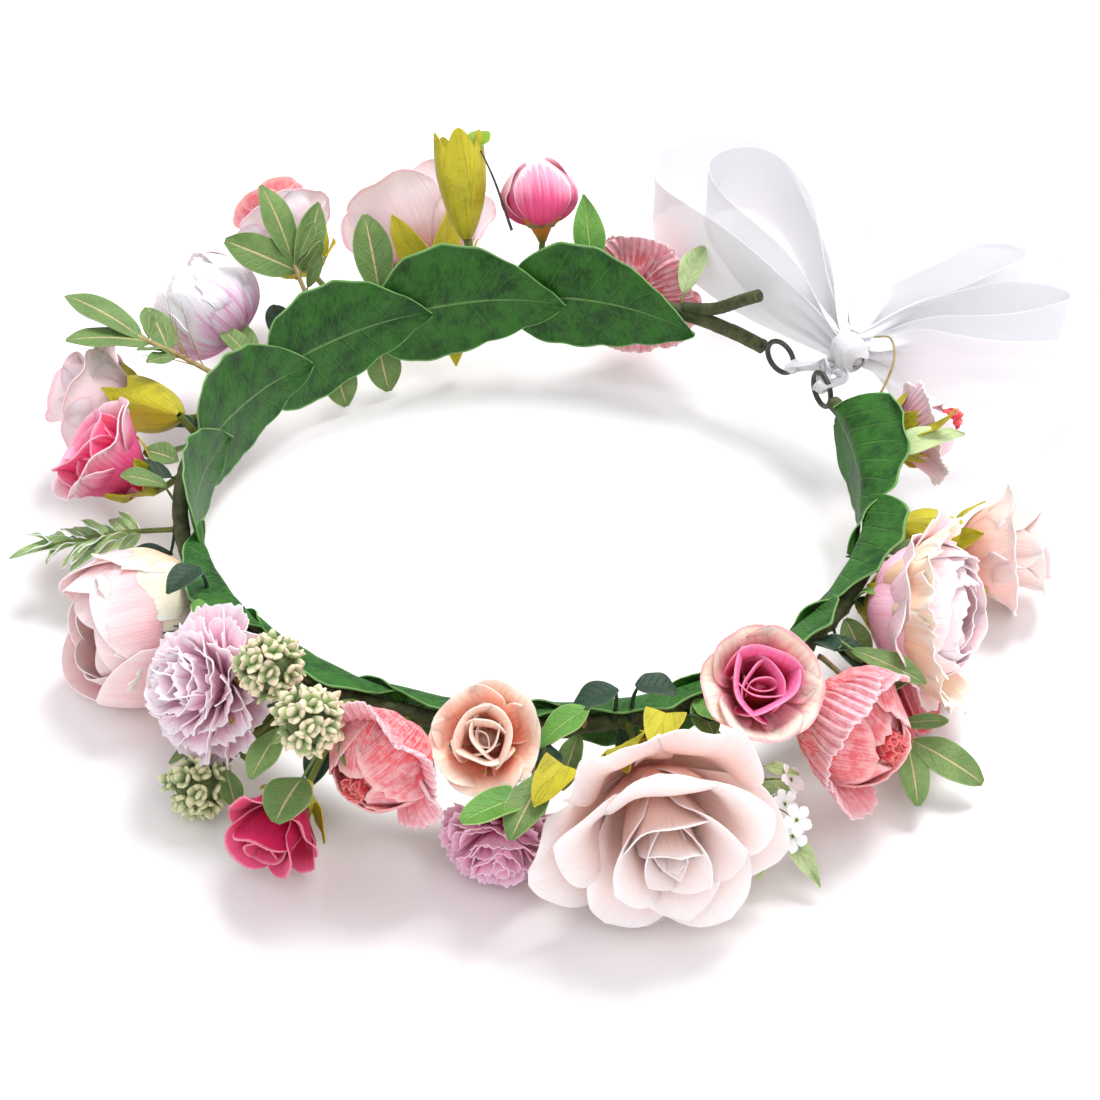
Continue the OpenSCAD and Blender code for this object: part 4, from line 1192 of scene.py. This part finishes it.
def tall_calyx(p, rng):
    """The open cup that stands up behind the lining, with a leaf and a fine stem at its mouth."""
    a, b = on_hoop(153.6, 7.5, 47), on_hoop(153.2, 25.5, 67)
    pod(p, rng, a - unit(b - a) * 2, b, 7.4)
    twig(p, [on_hoop(152, 1.6, 31), on_hoop(153, 5, 41), a], 1.3, mat=1, taper=1.0)
    twig(p, [on_hoop(146, 2.5, 50), on_hoop(148.4, 12, 61), on_hoop(150.2, 20, 67.5)], 0.5, mat=4)
    blade(p, rng, *sprout((151.5, 21.5, 66.5), -40, 30), 9, 7, "oval", mat=3, curl=-40)


def make_calyxes():
    groups = {"calyxes_left": ("hoop_left", range(0, 7)), "calyxes_front": ("hoop_right", range(7, 13)),
              "calyxes_right": ("hoop_right", range(13, 19))}
    rng = np.random.default_rng(77)
    names = list(FLOWERS)
    for node, (body, which) in groups.items():
        p = Piece()
        for i in which:
            calyx(p, rng, names[i])
        if node == "calyxes_left":
            tall_calyx(p, rng)
        obj = p.build(node + "_moulded", [CALYX, STEM, CALYX_RUST, CALYX_GREEN, WIRE])
        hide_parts(node)
        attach(obj, body)


make_calyxes()

GOLDEN_ANGLE = math.pi * (3 - math.sqrt(5))
SEDUM_HEADS = {"sedum_head_1": (288.3, 16, 46.8, 288.3), "sedum_head_2": (298.5, 30, 50, 297),
               "sedum_head_3": (281.8, 31, 9.5, 290)}


def make_sedum():
    rng = np.random.default_rng(58)
    for node, (a, reach, z, root) in SEDUM_HEADS.items():
        p = Piece()
        head, wire = on_hoop(a, reach, z), on_hoop(root)
        way = unit(head - wire)
        twig(p, [wire + way * (TAPE_R - 0.4), (head + wire) / 2 + [0, 0, 1.5], head], 0.95, mat=1,
             taper=1.0, sides=9)
        ball = np.eye(3) * [[1], [1], [11.6]]
        p.add_blob(head - [0, 0, 5.8], ball, lambda t: 11.6 * np.sqrt(np.clip(t * (1 - t), 0, 1)), 12, 16,
                   rnd=0.1, mat=3)
        whorls = 21
        for k in range(whorls):
            height = 1 - 2 * (k + 0.5) / whorls
            turn = k * GOLDEN_ANGLE + rng.uniform(-0.25, 0.25)
            out = np.array([math.cos(turn) * math.sqrt(1 - height ** 2),
                            math.sin(turn) * math.sqrt(1 - height ** 2), height])
            side = unit(np.cross(out, [0.3, 0.2, 1.0]))
            centre = head + out * rng.uniform(4.2, 5.6)
            for j in range(7):
                spin = 2 * math.pi * j / 6 + rng.uniform(-0.25, 0.25)
                open_ = 0.0 if j == 6 else rng.uniform(0.75, 1.15)
                way = unit(out + open_ * (math.cos(spin) * side + math.sin(spin) * np.cross(out, side)))
                flat = unit(np.cross(way, out + [0.01, 0, 0]))
                length = rng.uniform(3.2, 5.2)
                axes = np.stack([flat * 1.0, np.cross(way, flat) * 0.5, way * length])
                p.add_blob(centre, axes,
                           lambda t: 1.55 * np.sin(math.pi * np.clip(t, 0.03, 0.97) ** 1.25) ** 0.7,
                           7, 8, rnd=rng.uniform())
        for side in (-1, 1):
            blade(p, rng, *sprout((a + side * 1.5, reach - 6, z - 7 if z > 15 else z + 6),
                                  side * 60, -20), 12, 6, "spoon", mat=2, curl=-30)
        fleshy = SEDUM_GREY if node == "sedum_head_3" else SEDUM
        obj = p.build(node + "_leaves", [fleshy, STEM, OLIVE, SEDUM_CORE])
        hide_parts(node)
        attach(obj, "hoop_right")


make_sedum()


# ---------------------------------------------------------------- ribbon

KNOT = on_hoop(81.5, 9.0, 40.0)
RIBBON_W = 25.0


def strip(path, up, width, pleat=0.0, pleats=1.5, wave=0.0, phase=0.0, cols=17):
    """A ribbon along path. up is the way across it, and width and pleat may vary along it."""
    n = len(path)
    up = np.broadcast_to(np.asarray(up, float), (n, 3))
    tangent = unit(np.gradient(path, axis=0))
    up = unit(up - tangent * np.sum(up * tangent, axis=1, keepdims=True))
    face = np.cross(tangent, up)
    s = np.linspace(-1, 1, cols)[None, :] * np.ones((n, 1))
    width = np.broadcast_to(np.asarray(width, float), (n,))[:, None]
    pleat = np.broadcast_to(np.asarray(pleat, float), (n,))[:, None]
    run = np.concatenate([[0], np.cumsum(np.linalg.norm(np.diff(path, axis=0), axis=1))])
    fold = pleat * np.sin(pleats * math.pi * s + phase + run[:, None] * 0.02)
    fold = fold + wave * np.sin(run[:, None] / 9 + 1.5 * s + phase) * np.abs(s) ** 2
    grid = path[:, None] + up[:, None] * (s * width / 2)[..., None] + face[:, None] * fold[..., None]
    tone = np.stack([s, (run / run[-1])[:, None] * np.ones_like(s), np.full_like(s, phase / 6)], -1)
    return grid, tone, run[-1]


def ribbon(name, node, grid, tone):
    p = Piece()
    p.add_sheet(grid, 0.12, tone)
    obj = p.build(name, [RIBBON], 80)
    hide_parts(node)
    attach(obj, "bow")


def gather(n, ends=(True, True), reach=0.16, least=0.36):
    """The share of its full width that a ribbon has along it, pinched where the knot holds it."""
    t = np.linspace(0, 1, n)
    share = np.ones(n)
    if ends[0]:
        share = np.minimum(share, least + (1 - least) * smooth(t / reach))
    if ends[1]:
        share = np.minimum(share, least + (1 - least) * smooth((1 - t) / reach))
    return share


def from_knot(azimuth, slope):
    a, b = math.radians(azimuth), math.radians(slope)
    x = np.array([math.cos(a) * math.cos(b), math.sin(a) * math.cos(b), math.sin(b)])
    y = np.array([-math.sin(a), math.cos(a), 0])
    return x, y, np.cross(x, y)


def loop(name, node, azimuth, slope, points, twist=0.0, wave=0.4, phase=0.0, drop=0.0):
    """A bow loop: out from the knot and back through points (distance, aside) in its own plane."""
    x, y, z = from_knot(azimuth, slope)
    flat = bezier(points, 14)
    path = KNOT + flat[:, :1] * x + flat[:, 1:2] * y + drop * z * (flat[:, :1] / 80) ** 2
    n = len(path)
    t = np.linspace(-1, 1, n)[:, None]
    up = z + twist * t * x
    share = gather(n)
    grid, tone, length = strip(path, up, RIBBON_W * share, 2.6 * (1 - share), 3.0, wave, phase)
    ribbon(name, node, grid, tone)


def make_ribbon():
    loop("ribbon_loop_outer", "bow_loop_outer", 167, 3,
         [(3, 1.5), (18, 5), (42, 12), (66, 18), (84, 20), (97, 13), (100.5, 0), (95, -13), (80, -18.5),
          (60, -16.5), (38, -10), (16, -4), (3, -1.5)], wave=0.9, phase=0.4, drop=-1.5)
    loop("ribbon_loop_inner", "bow_loop_inner", 163.5, 6,
         [(3, 1), (20, 3.4), (44, 9), (64, 12.5), (78, 11), (84, 2), (81, -8), (68, -12), (48, -9.5),
          (24, -4), (3, -1)], wave=0.8, phase=2.0)
    loop("ribbon_fold_upper", "flat_loop_upper", 100, -12,
         [(3, 1), (20, 4), (44, 7.5), (68, 8), (80, 4.5), (83, 0), (80, -4.5), (66, -7), (42, -6),
          (20, -3.5), (3, -1)], wave=1.0, phase=1.1, twist=0.12)
    loop("ribbon_fold_lower", "flat_loop_lower", 80, -12,
         [(3, 1), (18, 4), (40, 7.5), (62, 8), (73, 4.5), (76.5, 0), (73, -4.5), (58, -7), (38, -6),
          (18, -3.5), (3, -1)], wave=1.0, phase=3.0, twist=-0.12)
    tails = (("ribbon_end_upper", "ribbon_tail_upper",
              [(-3, 3, 0), (-22, 22, -3), (-43, 47, -6), (-49, 72, -12), (-34, 100, -20), (-10, 124, -29),
               (4, 133, -33)], 0.7, 1.4),
             ("ribbon_end_lower", "ribbon_tail_lower",
              [(4, 3, 0), (16, 18, -5), (26, 40, -11), (30, 66, -18), (29, 92, -27), (25, 116, -33)],
              1.9, 1.2))
    for name, node, points, phase, wave in tails:
        path = KNOT + bezier(points, 20)
        n = len(path)
        t = np.linspace(0, 1, n)[:, None]
        tangent = unit(np.gradient(path, axis=0))
        flat = unit(np.cross(tangent, [0, 0, 1.0]))
        lay = smooth((t - 0.35) / 0.6) * 0.93
        up = np.array([0, 0, 1.0]) * (1 - lay) + flat * lay
        share = gather(n, (True, False))
        grid, tone, length = strip(path, up, RIBBON_W * share, 2.4 * (1 - share) + 0.3, 3.0, wave, phase)
        grid[..., 2] = np.maximum(grid[..., 2], 0.6 + 0.4 * grid[..., 2] / 25)
        ribbon(name, node, grid, tone)


def make_knot():
    """The knot: a short band wound round the gathered ribbon, over a soft crumpled middle."""
    p = Piece()
    x, y, z = from_knot(165, 0)
    turn = np.linspace(-0.2, 2.15, 120)[:, None] * 2 * math.pi
    across = np.linspace(-1, 1, 25)[None, :]
    radius = 5.0 - 2.9 * across ** 4 + 0.3 * np.sin(9 * across + 1.4 * turn) + 0.25 * np.sin(3 * turn)
    along = 5.4 * across + 0.11 * turn - 0.7
    grid = (KNOT + along[..., None] * x + (radius * np.cos(turn))[..., None] * z
            + (radius * np.sin(turn))[..., None] * y)
    tone = np.stack(np.broadcast_arrays(across, turn / turn.max(), 0.4), -1)
    p.add_sheet(grid, 0.12, tone)
    rng = np.random.default_rng(9)
    p.add_blob(KNOT - x * 5.6, np.stack([y, z, x * 11.2]),
               lambda t: 4.0 * np.sin(math.pi * np.clip(t, 0.04, 0.96)) ** 0.6, 14, 20, rnd=rng.uniform())
    obj = p.build("ribbon_knot_wrap", [RIBBON], 80)
    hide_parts("ribbon_knot")
    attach(obj, "bow")


def make_tie():
    """Three runs of ribbon from the knot to the two wire eyes, and a ring of it through each eye."""
    p = Piece()
    right, left = on_hoop(80.5, -0.5, 32), on_hoop(88.5, -1.0, 31)
    for i, (end, aside) in enumerate(((right, 3.0), (right, -3.0), (left, 1.5))):
        start = KNOT + np.array([0, -4.5, -3.0]) + [aside * 0.6, 0, 0]
        middle = (start + end) / 2 + [aside, 1.2, 0.8]
        path = bezier([start, middle, end], 14)
        grid, tone, _ = strip(path, [1.0, 0.3, 0.6], 5.0, 0.9, 3.0, 0.2, 1.0 * i)
        p.add_sheet(grid, 0.12, tone)
    for end in (right, left):
        turn = np.linspace(0, 1.2 * 2 * math.pi, 40)
        path = end + np.stack([0.8 * np.sin(turn), 2.0 * np.cos(turn), 2.0 * np.sin(turn)], 1)
        grid, tone, _ = strip(path, [1.0, 0, 0], 3.4, 0.25, 3.0, 0.1, 2.0)
        p.add_sheet(grid, 0.12, tone)
    obj = p.build("ribbon_tie_run", [RIBBON], 80)
    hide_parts("ribbon_tie")
    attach(obj, "hoop_right")


make_ribbon()
make_knot()
make_tie()


# ---------------------------------------------------------------- floor and light

FLOOR_HALF, FLOOR_DROP = 12.0, 0.0002  # metres
WORLD_COLOUR, WORLD_STRENGTH = (0.97, 0.96, 1.0, 1.0), 0.7
# name, azimuth and elevation in degrees, distance and diameter in metres, watts
LAMPS = (("key", 200, 64, 1.5, 0.8, 22.0), ("fill", 60, 48, 1.6, 1.4, 7.0))


def make_stage():
    me = bpy.data.meshes.new("floor")
    half = FLOOR_HALF
    me.from_pydata([(-half, -half, 0), (half, -half, 0), (half, half, 0), (-half, half, 0)], [],
                   [(0, 1, 2, 3)])
    floor = bpy.data.objects.new("floor", me)
    scene.collection.objects.link(floor)
    g = Graph("floor_paper")
    cloud = g.noise(g.place(), 3.0, 2.0)
    tone = g.math("ADD", 0.95, g.math("MULTIPLY", cloud, 0.01))
    me.materials.append(g.finish(g.vector(tone, tone, tone), 0.9, specular=0.1))
    floor.location.z = min(0.0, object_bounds()[0][2]) - FLOOR_DROP
    world = bpy.data.worlds.new("studio")
    world.use_nodes = True
    background = world.node_tree.nodes["Background"]
    background.inputs[0].default_value = WORLD_COLOUR
    background.inputs[1].default_value = WORLD_STRENGTH
    scene.world = world
    for name, azimuth, elevation, far, size, power in LAMPS:
        data = bpy.data.lights.new(name, "AREA")
        data.shape = "DISK"
        data.size = size
        data.energy = power
        lamp = bpy.data.objects.new(name, data)
        back = direction(azimuth, elevation)
        right = unit(np.cross([0, 0, 1], back))
        matrix = np.eye(4)
        matrix[:3, 0], matrix[:3, 1], matrix[:3, 2] = right, np.cross(back, right), back
        matrix[:3, 3] = back * far
        lamp.matrix_world = Matrix(matrix.tolist())
        scene.collection.objects.link(lamp)
    scene.view_settings.view_transform = "Standard"


make_stage()
